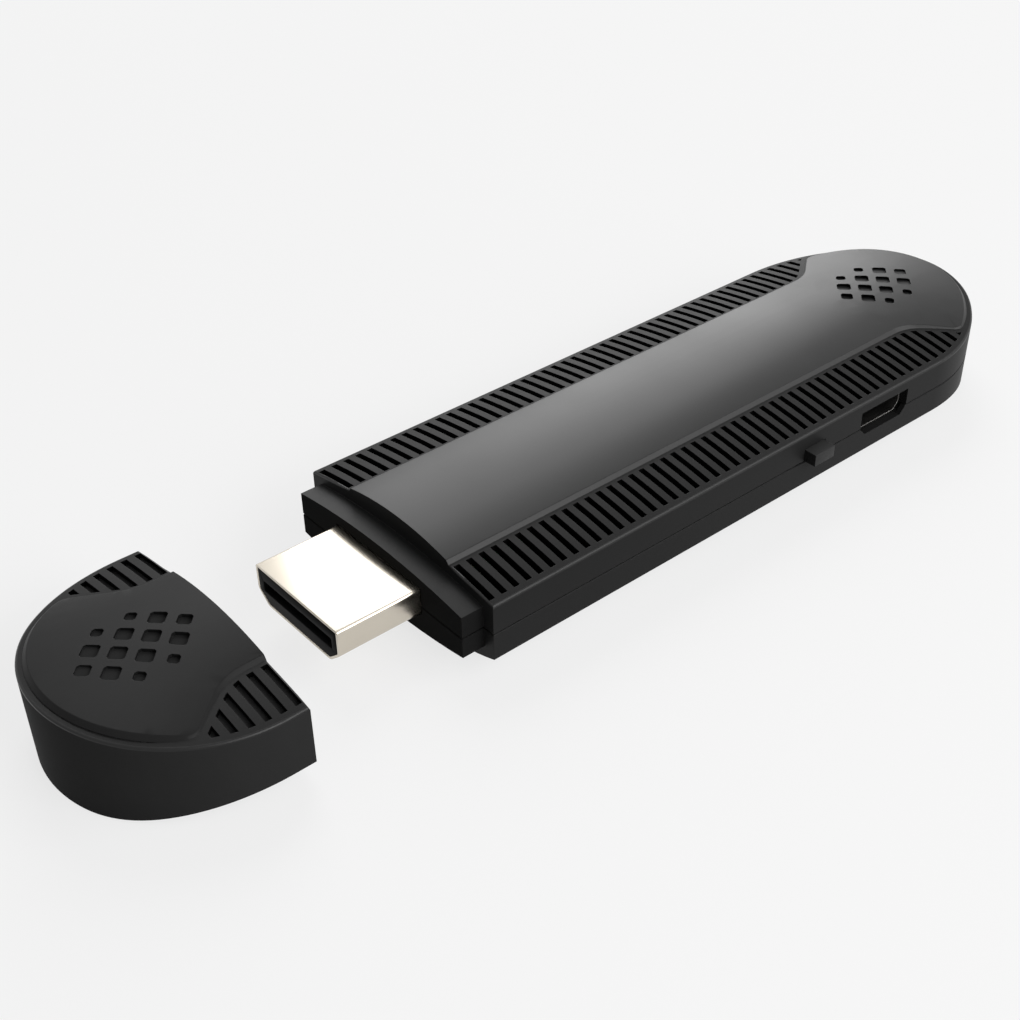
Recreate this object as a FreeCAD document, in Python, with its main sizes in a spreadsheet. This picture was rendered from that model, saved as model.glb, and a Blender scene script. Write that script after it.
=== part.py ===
import FreeCAD
import Part
import Sketcher
import math
import os

# Wireless display dongle: a stick with a rounded tail, a video plug on a neck at its front,
# and a cap that slides over the neck, shown taken off.
# Frame: +X runs along the stick to its rounded tail, +Z is up, the underside lies on Z = 0,
# and the origin is the middle of the underside's flat land. Millimetres.

doc = FreeCAD.newDocument("display_dongle")

DRIVING_SIZES = {
    # Stick, outside
    "body_width": 29.7,
    "body_length": 84.6,
    "belly_depth": 1.9,
    "side_height": 6.6,
    "seam_height": 5.0,
    "seam_gap": 0.1,
    "strip_radius": 73.5,
    "land_width": 9.2,
    "tail_reach": 17.0,
    "tail_radius": 13.15,
    "side_wall": 1.3,
    "roof_wall": 1.5,
    "ceiling_radius": 50.0,
    "floor_wall": 1.2,
    "floor_radius": 60.0,
    # Raised centre panel
    "waist_width": 16.5,
    "waist_radius": 35.0,
    "panel_rise": 0.88,
    "panel_step": 0.45,
    "panel_bevel": 0.42,
    "panel_lead": 4.2,
    "rim_width": 0.7,
    "neck_radius": 5.5,
    "neck_slope": 0.78,
    "shoulder_radius": 1.7,
    "tail_neck_reach": 15.2,
    "cap_neck_reach": 14.4,
    # Vent slots
    "slot_width": 0.7,
    "slot_pitch": 1.535,
    "slot_first": 0.58,
    "slot_count": 49,
    "cap_slot_count": 6,
    "slot_margin": 0.38,
    "slot_edge": 0.8,
    "slot_depth": 1.3,
    "cap_slot_depth": 0.54,
    # Dimples in both heads
    "dimple_pitch_along": 1.7,
    "dimple_pitch_across": 1.92,
    "dimple_depth": 0.35,
    "dimple_crown_radius": 45.0,
    "dimple_crown_drop": 0.06,
    "dimple_large": 1.17,
    "dimple_medium": 1.0,
    "dimple_small": 0.8,
    "dimple_corner": 0.16,
    "tail_dimple_reach": 11.3,
    "cap_dimple_reach": 10.15,
    # Neck that the cap slides over
    "neck_length": 2.62,
    "cap_wall": 1.37,
    "cap_clearance": 0.15,
    "neck_centre_height": 5.15,
    "neck_side_height": 5.0,
    "neck_crown_radius": 79.5,
    "neck_wall": 0.95,
    "neck_front_wall": 1.2,
    # Cap
    "cap_length": 18.5,
    "cap_off": 20.59,
    "cap_reach": 16.2,
    "cap_radius": 14.05,
    # Video plug
    "plug_width": 13.9,
    "plug_height": 4.45,
    "plug_reach": 9.755,
    "plug_side": 3.0,
    "plug_foot": 10.6,
    "plug_metal": 0.28,
    "plug_tail": 4.0,
    "plug_fit": 0.12,
    "mouth_width": 11.6,
    "mouth_height": 1.6,
    "mouth_lift": 0.15,
    "mouth_depth": 8.0,
    "video_contact_pitch": 1.0,
    "video_contact_width": 0.45,
    "video_contact_thickness": 0.15,
    "video_contact_length": 6.6,
    "video_contact_setback": 0.8,
    "video_tail_length": 2.2,
    "video_tail_pitch": 0.5,
    "video_tail_width": 0.26,
    "leg_length": 3.2,
    "leg_height": 1.2,
    # Main board
    "board_thickness": 1.0,
    "board_top": 4.2,
    "board_gap": 0.35,
    "board_front_gap": 0.2,
    "board_hole_fit": 0.15,
    # Processor, stores and radio, placed from the front face and the centre line
    "centre_line": 0.0,
    "chip_bevel": 0.12,
    "processor_position": 27.0,
    "processor_length": 12.0,
    "processor_height": 1.3,
    "memory_position": 42.0,
    "memory_length": 9.0,
    "memory_width": 12.5,
    "memory_height": 1.0,
    "flash_position": 34.0,
    "flash_length": 11.5,
    "flash_width": 13.0,
    "flash_height": 0.9,
    "radio_position": 69.5,
    "radio_offset": -2.2,
    "radio_length": 11.0,
    "radio_height": 1.3,
    "can_gap": 0.3,
    "can_metal": 0.2,
    "thermal_pad_thickness": 0.8,
    "spreader_position": 18.5,
    "spreader_length": 31.0,
    "spreader_width": 17.4,
    "spreader_metal": 0.5,
    # Power parts and small parts
    "inductor_position": 56.5,
    "inductor_offset": 6.0,
    "inductor_length": 4.0,
    "inductor_height": 1.8,
    "inductor_bevel": 0.5,
    "regulator_position": 56.5,
    "regulator_offset": 0.6,
    "regulator_length": 3.0,
    "regulator_height": 0.85,
    "crystal_position": 14.5,
    "crystal_offset": 4.0,
    "crystal_length": 3.2,
    "crystal_width": 2.5,
    "crystal_height": 0.75,
    "crystal_bevel": 0.2,
    "capacitor_start": 20.0,
    "capacitor_pitch": 3.0,
    "capacitor_offset": 10.6,
    "capacitor_length": 1.6,
    "capacitor_width": 0.8,
    "capacitor_height": 0.8,
    "resistor_start": 21.5,
    "resistor_pitch": 3.0,
    "resistor_offset": 12.3,
    "resistor_length": 1.0,
    "resistor_width": 0.5,
    "resistor_height": 0.35,
    # Antenna
    "antenna_position": 75.9,
    "antenna_foot": 1.6,
    "antenna_arm": 3.4,
    "antenna_height": 2.6,
    "antenna_width": 9.0,
    "antenna_metal": 0.2,
    # Power socket
    "socket_position": 57.97,
    "socket_width": 7.9,
    "socket_height": 2.9,
    "socket_depth": 5.4,
    "socket_chamfer": 0.95,
    "socket_metal": 0.25,
    "socket_setback": 0.55,
    "socket_opening_gap": 0.14,
    "tongue_width": 3.9,
    "tongue_thickness": 0.65,
    "tongue_setback": 0.7,
    "tongue_base": 1.2,
    "tongue_lift": 0.1,
    "power_contact_setback": 0.4,
    "power_contact_pitch": 0.65,
    "power_contact_width": 0.36,
    "power_contact_thickness": 0.1,
    # Mode button and its switch
    "button_position": 45.97,
    "button_length": 3.2,
    "button_height": 1.47,
    "button_proud": 1.5,
    "button_round": 0.25,
    "button_fit": 0.12,
    "button_flange": 0.45,
    "button_flange_lap": 0.5,
    "button_play": 0.05,
    "button_travel": 0.3,
    "plunger_length": 1.3,
    "plunger_height": 0.9,
    "plunger_proud": 0.5,
    "plunger_fit": 0.05,
    "plunger_depth": 0.7,
    "plunger_level": 1.2,
    "switch_length": 4.2,
    "switch_depth": 3.2,
    "switch_height": 2.0,
    # Screws that hold the board
    "screw_front_position": 11.5,
    "screw_rear_position": 67.5,
    "screw_spread": 21.6,
    "screw_head_width": 2.8,
    "screw_head_height": 1.0,
    "screw_recess": 0.5,
    "screw_recess_width": 1.3,
    "screw_head_bevel": 0.25,
    "screw_diameter": 1.6,
    "screw_length": 2.4,
    "screw_fit": 0.06,
    "boss_diameter": 3.8,
    "boss_foot_height": 1.65,
    # Lip between the shells
    "lip_thickness": 0.55,
    "lip_depth": 0.8,
    "lip_fit": 0.08,
    "lip_gap": 0.5,
}

sheet = doc.addObject("Spreadsheet::Sheet", "Sizes")
worked = doc.addObject("Spreadsheet::Sheet", "Worked")


class Size:
    """A length that keeps its formula, so that what is drawn with it stays bound to the sheet."""

    def __init__(self, value, formula):
        self.value = float(value)
        self.formula = formula

    def __add__(self, other):
        other = size(other)
        return Size(self.value + other.value, f"({self.formula} + {other.formula})")

    def __sub__(self, other):
        other = size(other)
        return Size(self.value - other.value, f"({self.formula} - {other.formula})")

    def __mul__(self, other):
        other = size(other)
        return Size(self.value * other.value, f"({self.formula} * {other.formula})")

    def __truediv__(self, other):
        other = size(other)
        return Size(self.value / other.value, f"({self.formula} / {other.formula})")

    def __pow__(self, power):
        return Size(self.value ** power, f"({self.formula} ^ {power})")

    def __neg__(self):
        return Size(-self.value, f"(0 - {self.formula})")

    def __radd__(self, other):
        return size(other) + self

    def __rsub__(self, other):
        return size(other) - self

    def __rmul__(self, other):
        return size(other) * self

    def __rtruediv__(self, other):
        return size(other) / self


def size(number):
    """A Size from a plain number; a Size stays as it is."""
    if isinstance(number, Size):
        return number
    return Size(number, f"({number!r})" if number < 0 else repr(number))


def root(number):
    return Size(math.sqrt(number.value), f"sqrt({number.formula})")


def sagitta(radius, half_chord):
    """How far a circle falls away at half_chord from its highest point."""
    return radius - root(radius ** 2 - half_chord ** 2)


def arc_radius(half_chord, rise):
    """The radius of the arc that falls by rise at half_chord from its highest point."""
    return (half_chord ** 2 + rise ** 2) / (2 * rise)


def write_sheet():
    """Puts the driving sizes into the sheet and hands them back by name."""
    named = {}
    for row, (name, number) in enumerate(DRIVING_SIZES.items(), start=1):
        sheet.set(f"A{row}", name)
        sheet.set(f"B{row}", str(number))
        sheet.setAlias(f"B{row}", name)
        named[name] = Size(number, f"Sizes.{name}")
    doc.recompute()
    return named


def work_out(name, result):
    """Keeps a longer formula in a cell of its own under a name."""
    row = len(worked_names) + 1
    worked_names.append(name)
    worked.set(f"A{row}", name)
    worked.set(f"B{row}", "=" + result.formula)
    worked.setAlias(f"B{row}", name)
    return Size(result.value, f"Worked.{name}")


worked_names = []
S = write_sheet()

# Places and sizes worked out from the driving ones
HALF = S["body_width"] / 2
FRONT = work_out("front_face", -S["body_length"] / 2)
TAIL = work_out("tail_tip", S["body_length"] / 2)
SIDE_TOP = S["belly_depth"] + S["side_height"]
STRIP_TOP = work_out("strip_top", SIDE_TOP + sagitta(S["strip_radius"], HALF))
PANEL_TOP = work_out("panel_top", STRIP_TOP + S["panel_rise"])
ABOVE = work_out("above_all", PANEL_TOP + 2)
LAND = S["land_width"] / 2
BELLY_RADIUS = work_out("belly_radius", arc_radius(HALF - LAND, S["belly_depth"]))
NECK_HALF = HALF - S["cap_wall"] - S["cap_clearance"]
NECK_FACE = FRONT - S["neck_length"]
PLUG_TIP = NECK_FACE - S["plug_reach"]
CAP_MOUTH = work_out("cap_mouth", FRONT - S["cap_off"])
CAP_TIP = work_out("cap_tip", CAP_MOUTH - S["cap_length"])
BOARD_TOP = S["board_top"]
BOARD_BOTTOM = BOARD_TOP - S["board_thickness"]
INNER_HALF = HALF - S["side_wall"]


# Drawing helpers
PLANES = {"XY": ("XY_Plane", 1), "YZ": ("YZ_Plane", 1), "XZ": ("XZ_Plane", -1)}


def centre_of(start, end, radius):
    """Centre of the short arc from start to end; a radius above nought turns anticlockwise."""
    span_x = end[0] - start[0]
    span_y = end[1] - start[1]
    half = math.hypot(span_x, span_y) / 2
    away = math.copysign(math.sqrt(max(radius * radius - half * half, 0.0)) / (2 * half), radius)
    return (start[0] + span_x / 2 - span_y * away, start[1] + span_y / 2 + span_x * away)


def arc_edge(start, end, radius):
    centre = centre_of(start, end, radius)
    first, last = (start, end) if radius > 0 else (end, start)
    from_angle = math.atan2(first[1] - centre[1], first[0] - centre[0])
    to_angle = math.atan2(last[1] - centre[1], last[0] - centre[0])
    middle = FreeCAD.Vector(centre[0], centre[1], 0)
    circle = Part.Circle(middle, FreeCAD.Vector(0, 0, 1), abs(radius))
    return Part.ArcOfCircle(circle, from_angle, to_angle)


def draw_loop(sketch, corners):
    """Draws a closed loop through corners (x, y) or (x, y, radius of the arc that ends there)."""
    corners = [tuple(size(number) for number in corner) for corner in corners]
    first_edge = sketch.GeometryCount
    edges = []
    ends = []
    for index, corner in enumerate(corners):
        before = corners[index - 1]
        start = (before[0].value, before[1].value)
        end = (corner[0].value, corner[1].value)
        radius = corner[2].value if len(corner) > 2 else 0.0
        if radius:
            edges.append(arc_edge(start, end, radius))
        else:
            edges.append(Part.LineSegment(FreeCAD.Vector(*start, 0), FreeCAD.Vector(*end, 0)))
        ends.append((1, 2) if radius >= 0 else (2, 1))
    sketch.addGeometry(edges, False)
    rules = []
    bindings = []
    for index, corner in enumerate(corners):
        edge = first_edge + index
        following = first_edge + (index + 1) % len(corners)
        last_point = ends[index][1]
        rules.append(Sketcher.Constraint("Coincident", edge, last_point, following,
                                         ends[(index + 1) % len(corners)][0]))
        for direction, number, axis in (("DistanceX", corner[0], -2), ("DistanceY", corner[1], -1)):
            if number.value == 0.0:
                rules.append(Sketcher.Constraint("PointOnObject", edge, last_point, axis))
                continue
            bindings.append((len(rules), number.formula))
            rules.append(Sketcher.Constraint(direction, -1, 1, edge, last_point, number.value))
        if len(corner) > 2:
            bindings.append((len(rules), f"abs({corner[2].formula})"))
            rules.append(Sketcher.Constraint("Radius", edge, abs(corner[2].value)))
    first_rule = sketch.ConstraintCount
    sketch.addConstraint(rules)
    for index, formula in bindings:
        sketch.setExpression(f"Constraints[{first_rule + index}]", formula)


def draw_circle(sketch, x, y, radius):
    """Draws a circle bound to its centre and radius."""
    x, y, radius = size(x), size(y), size(radius)
    centre = FreeCAD.Vector(x.value, y.value, 0)
    edge = sketch.addGeometry(Part.Circle(centre, FreeCAD.Vector(0, 0, 1), radius.value), False)
    for kind, number, axis in (("DistanceX", x, -2), ("DistanceY", y, -1)):
        if number.value == 0.0:
            sketch.addConstraint(Sketcher.Constraint("PointOnObject", edge, 3, axis))
            continue
        rule = sketch.addConstraint(Sketcher.Constraint(kind, -1, 1, edge, 3, number.value))
        sketch.setExpression(f"Constraints[{rule}]", number.formula)
    rule = sketch.addConstraint(Sketcher.Constraint("Radius", edge, radius.value))
    sketch.setExpression(f"Constraints[{rule}]", radius.formula)


def rectangle(left, right, low, high):
    return [(left, low), (right, low), (right, high), (left, high)]


class Piece:
    """One sub-part as a body, with features that are bound to the sheet."""

    def __init__(self, label):
        self.body = doc.addObject("PartDesign::Body", label)
        self.body.Label = label
        self.label = label

    def origin_feature(self, role):
        return next(item for item in self.body.Origin.OriginFeatures if item.Role == role)

    def sketch(self, plane, offset, loops, circles=()):
        role, way = PLANES[plane]
        drawing = self.body.newObject("Sketcher::SketchObject", f"{self.label}_sketch")
        drawing.AttachmentSupport = [(self.origin_feature(role), "")]
        drawing.MapMode = "FlatFace"
        offset = size(offset) * way
        drawing.AttachmentOffset.Base.z = offset.value
        drawing.setExpression(".AttachmentOffset.Base.z", offset.formula)
        for corners in loops:
            draw_loop(drawing, corners)
        for x, y, radius in circles:
            draw_circle(drawing, x, y, radius)
        drawing.Visibility = False
        return drawing

    def volume(self):
        doc.recompute()
        return self.body.Shape.Volume if self.body.Tip else 0.0

    def grow(self, plane, low, high, loops, circles=()):
        """Pads the loops between two places along the plane's own axis."""
        before = self.volume()
        start = low if PLANES[plane][1] > 0 else high
        pad = self.body.newObject("PartDesign::Pad", f"{self.label}_pad")
        pad.Profile = self.sketch(plane, start, loops, circles)
        length = size(high) - low
        pad.Length = length.value
        pad.setExpression("Length", length.formula)
        if self.volume() <= before:
            raise RuntimeError(f"{self.label}: a pad added nothing")
        return pad

    def cut(self, plane, low, high, loops, circles=()):
        """Pockets the loops between two places along the plane's own axis."""
        before = self.volume()
        start = high if PLANES[plane][1] > 0 else low
        pocket = self.body.newObject("PartDesign::Pocket", f"{self.label}_pocket")
        pocket.Profile = self.sketch(plane, start, loops, circles)
        length = size(high) - low
        pocket.Length = length.value
        pocket.setExpression("Length", length.formula)
        if self.volume() >= before:
            raise RuntimeError(f"{self.label}: a pocket cut nothing")
        return pocket

    def loft_away(self, sections):
        """Cuts a smooth loft through sections (place along X, loop in the YZ plane)."""
        before = self.volume()
        drawings = [self.sketch("YZ", place, [loop]) for place, loop in sections]
        loft = self.body.newObject("PartDesign::SubtractiveLoft", f"{self.label}_loft")
        loft.Profile = drawings[0]
        loft.Sections = drawings[1:]
        loft.Ruled = False
        if self.volume() >= before:
            raise RuntimeError(f"{self.label}: a loft cut nothing")

    def combine(self, tool, kind):
        """Fuses, cuts or intersects with another body."""
        boolean = self.body.newObject("PartDesign::Boolean", f"{self.label}_{kind.lower()}")
        boolean.Type = kind
        boolean.setObjects([tool.body])
        boolean.Refine = True
        doc.recompute()

    def repeat_along(self, feature, role, pitch, count):
        """Repeats a feature along one of the body's axes."""
        pattern = self.body.newObject("PartDesign::LinearPattern", f"{self.label}_pattern")
        pattern.Originals = [feature]
        pattern.Direction = (self.origin_feature(role), [""])
        pattern.Length = ((count - 1) * pitch).value
        pattern.setExpression("Length", ((count - 1) * pitch).formula)
        pattern.setExpression("Occurrences", count.formula)
        self.body.Tip = pattern
        doc.recompute()
        return pattern

    def soften(self, kind, wanted, amount):
        """Fillets or chamfers the edges for which wanted(edge) is true."""
        doc.recompute()
        base = self.body.Tip
        names = [f"Edge{number}" for number, edge in enumerate(base.Shape.Edges, start=1)
                 if wanted(edge)]
        if not names:
            raise RuntimeError(f"{self.label}: no edge to soften")
        before = self.volume()
        feature = self.body.newObject(f"PartDesign::{kind}", f"{self.label}_{kind.lower()}")
        feature.Base = (base, names)
        amount = size(amount)
        name = "Size" if kind == "Chamfer" else "Radius"
        setattr(feature, name, amount.value)
        feature.setExpression(name, amount.formula)
        if self.volume() == before:
            raise RuntimeError(f"{self.label}: a {kind.lower()} changed nothing")
        return feature


def is_near(number, place):
    return abs(number - size(place).value) < 1e-4


def in_plane(edge, axis, place):
    """True where the whole edge lies at place along axis 0, 1 or 2."""
    box = edge.BoundBox
    low = (box.XMin, box.YMin, box.ZMin)[axis]
    high = (box.XMax, box.YMax, box.ZMax)[axis]
    return is_near(low, place) and is_near(high, place)


class End:
    """A rounded end: where its tip is, which way it points, and its outline of three arcs.

    Places on it are worked out as (distance in from the tip, distance from the centre line).
    """

    def __init__(self, name, tip, way, reach, nose, neck_reach):
        self.name = name
        self.tip = tip
        self.way = way
        self.reach = reach
        self.nose = nose
        self.neck_reach = neck_reach
        side = ((reach - nose) ** 2 + HALF ** 2 - nose ** 2) / (2 * (HALF - nose))
        self.side = work_out(f"{name}_side_radius", side)
        # The two arcs touch in line with the direction from the side arc's centre to the nose's
        self.lean_in = work_out(f"{name}_lean_in", (nose - reach) / (self.side - nose))
        self.lean_out = work_out(f"{name}_lean_out", (self.side - HALF) / (self.side - nose))
        self.place_shoulder(name)

    def place_shoulder(self, name):
        """Finds the panel's shoulder arc, which touches its slanted neck and its rim."""
        slope = S["neck_slope"]
        steep = work_out(f"{name}_steep", root(1 + slope ** 2))
        self.slant = (-(1 / steep), slope / steep)
        self.inner_side = (-(slope / steep), -(1 / steep))
        self.half_turn = work_out(f"{name}_half_turn", (steep - 1) / slope)
        radius = S["shoulder_radius"]
        ring = work_out(f"{name}_ring", self.side - S["rim_width"] - radius)
        start_in = work_out(f"{name}_start_in", self.neck_reach + radius * self.inner_side[0])
        start_out = work_out(f"{name}_start_out", S["waist_width"] / 2 + radius * self.inner_side[1])
        gap_in = work_out(f"{name}_gap_in", start_in - self.reach)
        gap_out = work_out(f"{name}_gap_out", start_out - (HALF - self.side))
        lead = work_out(f"{name}_lead", gap_in * self.slant[0] + gap_out * self.slant[1])
        run = root(lead ** 2 - gap_in ** 2 - gap_out ** 2 + ring ** 2) - lead
        run = work_out(f"{name}_run", run)
        self.shoulder_in = work_out(f"{name}_shoulder_in", start_in + run * self.slant[0])
        self.shoulder_out = work_out(f"{name}_shoulder_out", start_out + run * self.slant[1])
        self.touch_in = work_out(f"{name}_touch_in", (self.shoulder_in - self.reach) / ring)
        self.touch_out = work_out(f"{name}_touch_out",
                                  (self.shoulder_out - (HALF - self.side)) / ring)

    def along(self, inward):
        """Place along X from the distance in from the tip."""
        return self.tip - self.way * inward

    def corner(self, place, side, radius=None):
        """A loop's corner on one side of the centre line, with the arc that ends there."""
        inward, outward = place
        if radius is None:
            return (self.along(inward), side * outward)
        return (self.along(inward), side * outward, self.way * radius)

    def outline(self, inset, mouth):
        """The plan of the end, drawn in by inset and closed across at mouth."""
        half = HALF - inset
        nose_radius = self.nose - inset
        side_radius = self.side - inset
        leave = (self.reach, half)
        touch = (self.nose + nose_radius * self.lean_in, nose_radius * self.lean_out)
        return [(mouth, half), (mouth, -half),
                self.corner(leave, -1),
                self.corner(touch, -1, side_radius),
                self.corner(touch, 1, nose_radius),
                self.corner(leave, 1, side_radius)]

    def panel(self, grown, mouth):
        """The plan of the raised panel, grown outwards and closed across at mouth."""
        waist = S["waist_width"] / 2 + grown
        neck_radius = S["neck_radius"] - grown
        shoulder_radius = S["shoulder_radius"] + grown
        nose_radius = self.nose - S["rim_width"] + grown
        side_radius = self.side - S["rim_width"] + grown
        corner_in = self.neck_reach + grown * self.half_turn
        turn = neck_radius * self.half_turn
        leave = (corner_in + turn, waist)
        rise = (corner_in + turn * self.slant[0], waist + turn * self.slant[1])
        bend = (self.shoulder_in - shoulder_radius * self.inner_side[0],
                self.shoulder_out - shoulder_radius * self.inner_side[1])
        meet = (self.reach + side_radius * self.touch_in,
                HALF - self.side + side_radius * self.touch_out)
        touch = (self.nose + nose_radius * self.lean_in, nose_radius * self.lean_out)
        return [(mouth, waist), (mouth, -waist),
                self.corner(leave, -1),
                self.corner(rise, -1, -neck_radius),
                self.corner(bend, -1),
                self.corner(meet, -1, shoulder_radius),
                self.corner(touch, -1, side_radius),
                self.corner(touch, 1, nose_radius),
                self.corner(meet, 1, side_radius),
                self.corner(bend, 1, shoulder_radius),
                self.corner(rise, 1),
                self.corner(leave, 1, -neck_radius)]


tail = End("tail", TAIL, 1, S["tail_reach"], S["tail_radius"], S["tail_neck_reach"])
nose = End("cap", CAP_TIP, -1, S["cap_reach"], S["cap_radius"], S["cap_neck_reach"])


# Cross-sections, drawn in the YZ plane
def crowned_section(half, low, side_top, crown_radius):
    """Flat below, upright at the sides, an arc on top."""
    return [(-half, low), (half, low), (half, side_top), (-half, side_top, crown_radius)]


def belly_section(high):
    """The underside: upright sides, then an arc on each side down to the flat land."""
    edge = S["belly_depth"]
    return [(-HALF, high), (-HALF, edge), (-LAND, 0, BELLY_RADIUS), (LAND, 0),
            (HALF, edge, BELLY_RADIUS), (HALF, high)]


def dished_section(half, apex, radius, high):
    """A room's lower part: upright sides and a floor that is an arc, lowest at the centre."""
    edge = apex + sagitta(radius, half)
    return [(-half, high), (-half, edge), (half, edge, radius), (half, high)]


def neck_numbers(inset):
    """Half width, crown radius and height at the sides of the neck's section."""
    half = NECK_HALF - inset
    radius = S["neck_crown_radius"] - inset
    apex = S["neck_side_height"] / 2 + sagitta(S["neck_crown_radius"], NECK_HALF) - inset
    return half, radius, apex - sagitta(radius, half)


def upper_neck(inset, low):
    half, radius, edge = neck_numbers(inset)
    return crowned_section(half, low, S["neck_centre_height"] + edge, radius)


def lower_neck(inset, high):
    half, radius, edge = neck_numbers(inset)
    low = S["neck_centre_height"] - edge
    return [(-half, high), (-half, low), (half, low, radius), (half, high)]


def whole_neck(inset):
    half, radius, edge = neck_numbers(inset)
    low = S["neck_centre_height"] - edge
    high = S["neck_centre_height"] + edge
    return [(-half, high, radius), (-half, low), (half, low, radius), (half, high)]


def plug_section(grown):
    """The video plug's outline: full width above, sloping in to a narrower foot."""
    half = S["plug_width"] / 2 + grown
    foot = S["plug_foot"] / 2 + grown * 0.8
    high = S["seam_height"] + S["plug_height"] / 2 + grown
    low = S["seam_height"] - S["plug_height"] / 2 - grown
    step = S["seam_height"] + S["plug_height"] / 2 - S["plug_side"]
    return [(-foot, low), (foot, low), (half, step), (half, high), (-half, high), (-half, step)]


def socket_section(grown):
    """The power socket's outline, drawn in the XZ plane: wide above, chamfered below."""
    middle = FRONT + S["socket_position"]
    left = middle - S["socket_width"] / 2 - grown
    right = middle + S["socket_width"] / 2 + grown
    low = BOARD_TOP - grown
    high = BOARD_TOP + S["socket_height"] + grown
    chamfer = S["socket_chamfer"]
    return [(left + chamfer, low), (right - chamfer, low), (right, low + chamfer),
            (right, high), (left, high), (left, low + chamfer)]


def trim_to(piece, plan):
    """Cuts away all that lies outside a plan outline, over the piece's whole height."""
    margin = 5
    # An end's arc bulges past the outline's corners, by less than its half width
    places = sorted((size(corner[0]) for corner in plan), key=lambda place: place.value)
    frame = rectangle(places[0] - HALF, places[-1] + HALF, -(HALF + margin), HALF + margin)
    piece.cut("XY", -margin, ABOVE + margin, [frame, plan])


# Raised panel
def air_section(radius, top):
    """The space above the panel at one station: an arc below, a flat top far above."""
    edge = top - sagitta(radius, HALF)
    high = ABOVE + 4
    return [(-HALF, high), (-HALF, edge), (HALF, edge, -radius), (HALF, high)]


def panel_head(name, end, mouth):
    """The panel's head: its crown flattens and drops towards the tip, from a level start."""
    piece = Piece(name)
    piece.grow("XY", S["seam_height"] + 1, ABOVE, [end.panel(0, mouth)])
    start = end.neck_reach + S["panel_lead"]
    fall = S["panel_rise"] - S["panel_step"]
    flatter = 1 / S["strip_radius"] - 1 / S["waist_radius"]
    level = air_section(S["waist_radius"], PANEL_TOP)
    sections = [(end.along(start + 2), level), (end.along(start), level)]
    for share in (0.2, 0.4, 0.6, 0.8, 1.0):
        radius = 1 / (1 / S["waist_radius"] + flatter * (share ** 2 * (3 - 2 * share)))
        top = PANEL_TOP - fall * share ** 2
        sections.append((end.along((start + 1) * (1 - share) - 1), air_section(radius, top)))
    piece.loft_away(sections)
    return piece


def panel_waist(name, start, end):
    """The panel's straight waist, with the same crown all along."""
    piece = Piece(name)
    half = S["waist_width"] / 2
    edge = PANEL_TOP - sagitta(S["waist_radius"], half)
    low = S["seam_height"] + 1
    piece.grow("YZ", start, end, [crowned_section(half, low, edge, S["waist_radius"])])
    return piece


def finish_panel(panel, mouth, end, reach):
    """Bevels the panel all round but at its mouth, and sinks the dimples into its head."""
    panel.soften("Chamfer", is_top_edge(panel, mouth), S["panel_bevel"])
    panel.combine(dimple_stamp(f"{end.name}_dimples", end, reach), "Cut")
    return panel


def is_top_edge(piece, mouth):
    """Picks the edges where the crown meets the panel's upright walls, but not at the mouth."""
    walls = []
    for face in piece.body.Tip.Shape.Faces:
        low_u, high_u, low_v, high_v = face.ParameterRange
        if abs(face.normalAt((low_u + high_u) / 2, (low_v + high_v) / 2).z) < 0.01:
            walls.extend(face.Edges)
    lowest = (SIDE_TOP - 0.5).value

    def wanted(edge):
        box = edge.BoundBox
        level = math.hypot(box.XLength, box.YLength) > 0.05
        if box.ZMin < lowest or not level or in_plane(edge, 0, mouth):
            return False
        return any(edge.isSame(other) for other in walls)

    return wanted


def dimple_cell(x, y, half):
    """A square stood on its corner, with its corners cut off."""
    near = S["dimple_corner"]
    far = half - near
    return [(x - far, y - near), (x - near, y - far), (x + near, y - far), (x + far, y - near),
            (x + far, y + near), (x + near, y + far), (x - near, y + far), (x - far, y + near)]


# Steps from the middle of the pattern, in half pitches along and across, and the cell's size
DIMPLES = (
    (0, 1, "dimple_large"), (1, 0, "dimple_large"), (2, 1, "dimple_large"),
    (3, 0, "dimple_medium"), (1, 2, "dimple_small"),
)


def dimple_stamp(name, end, reach):
    """The fourteen cells that are sunk into a head, each to one depth below the crown."""
    stamp = Piece(name)
    for step_along, step_across, cell in DIMPLES:
        across = step_across * S["dimple_pitch_across"]
        drop = sagitta(S["dimple_crown_radius"], across)
        floor = PANEL_TOP - S["dimple_crown_drop"] - drop - S["dimple_depth"]
        for side in sorted({step_along, -step_along}):
            for edge in sorted({step_across, -step_across}):
                x = end.along(reach + side * S["dimple_pitch_along"])
                y = edge * S["dimple_pitch_across"]
                stamp.grow("XY", floor, ABOVE, [dimple_cell(x, y, S[cell])])
    return stamp


def cap_panel():
    panel = panel_head("cap_panel", nose, CAP_MOUTH)
    return finish_panel(panel, CAP_MOUTH, nose, S["cap_dimple_reach"])


def stick_panel():
    """The stick's panel: a straight waist and a dimpled head that meet in one section."""
    joint = tail.along(tail.neck_reach + S["panel_lead"])
    panel = panel_head("stick_panel", tail, joint)
    panel.combine(panel_waist("stick_waist", FRONT, joint), "Fuse")
    return finish_panel(panel, FRONT, tail, S["tail_dimple_reach"])


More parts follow.
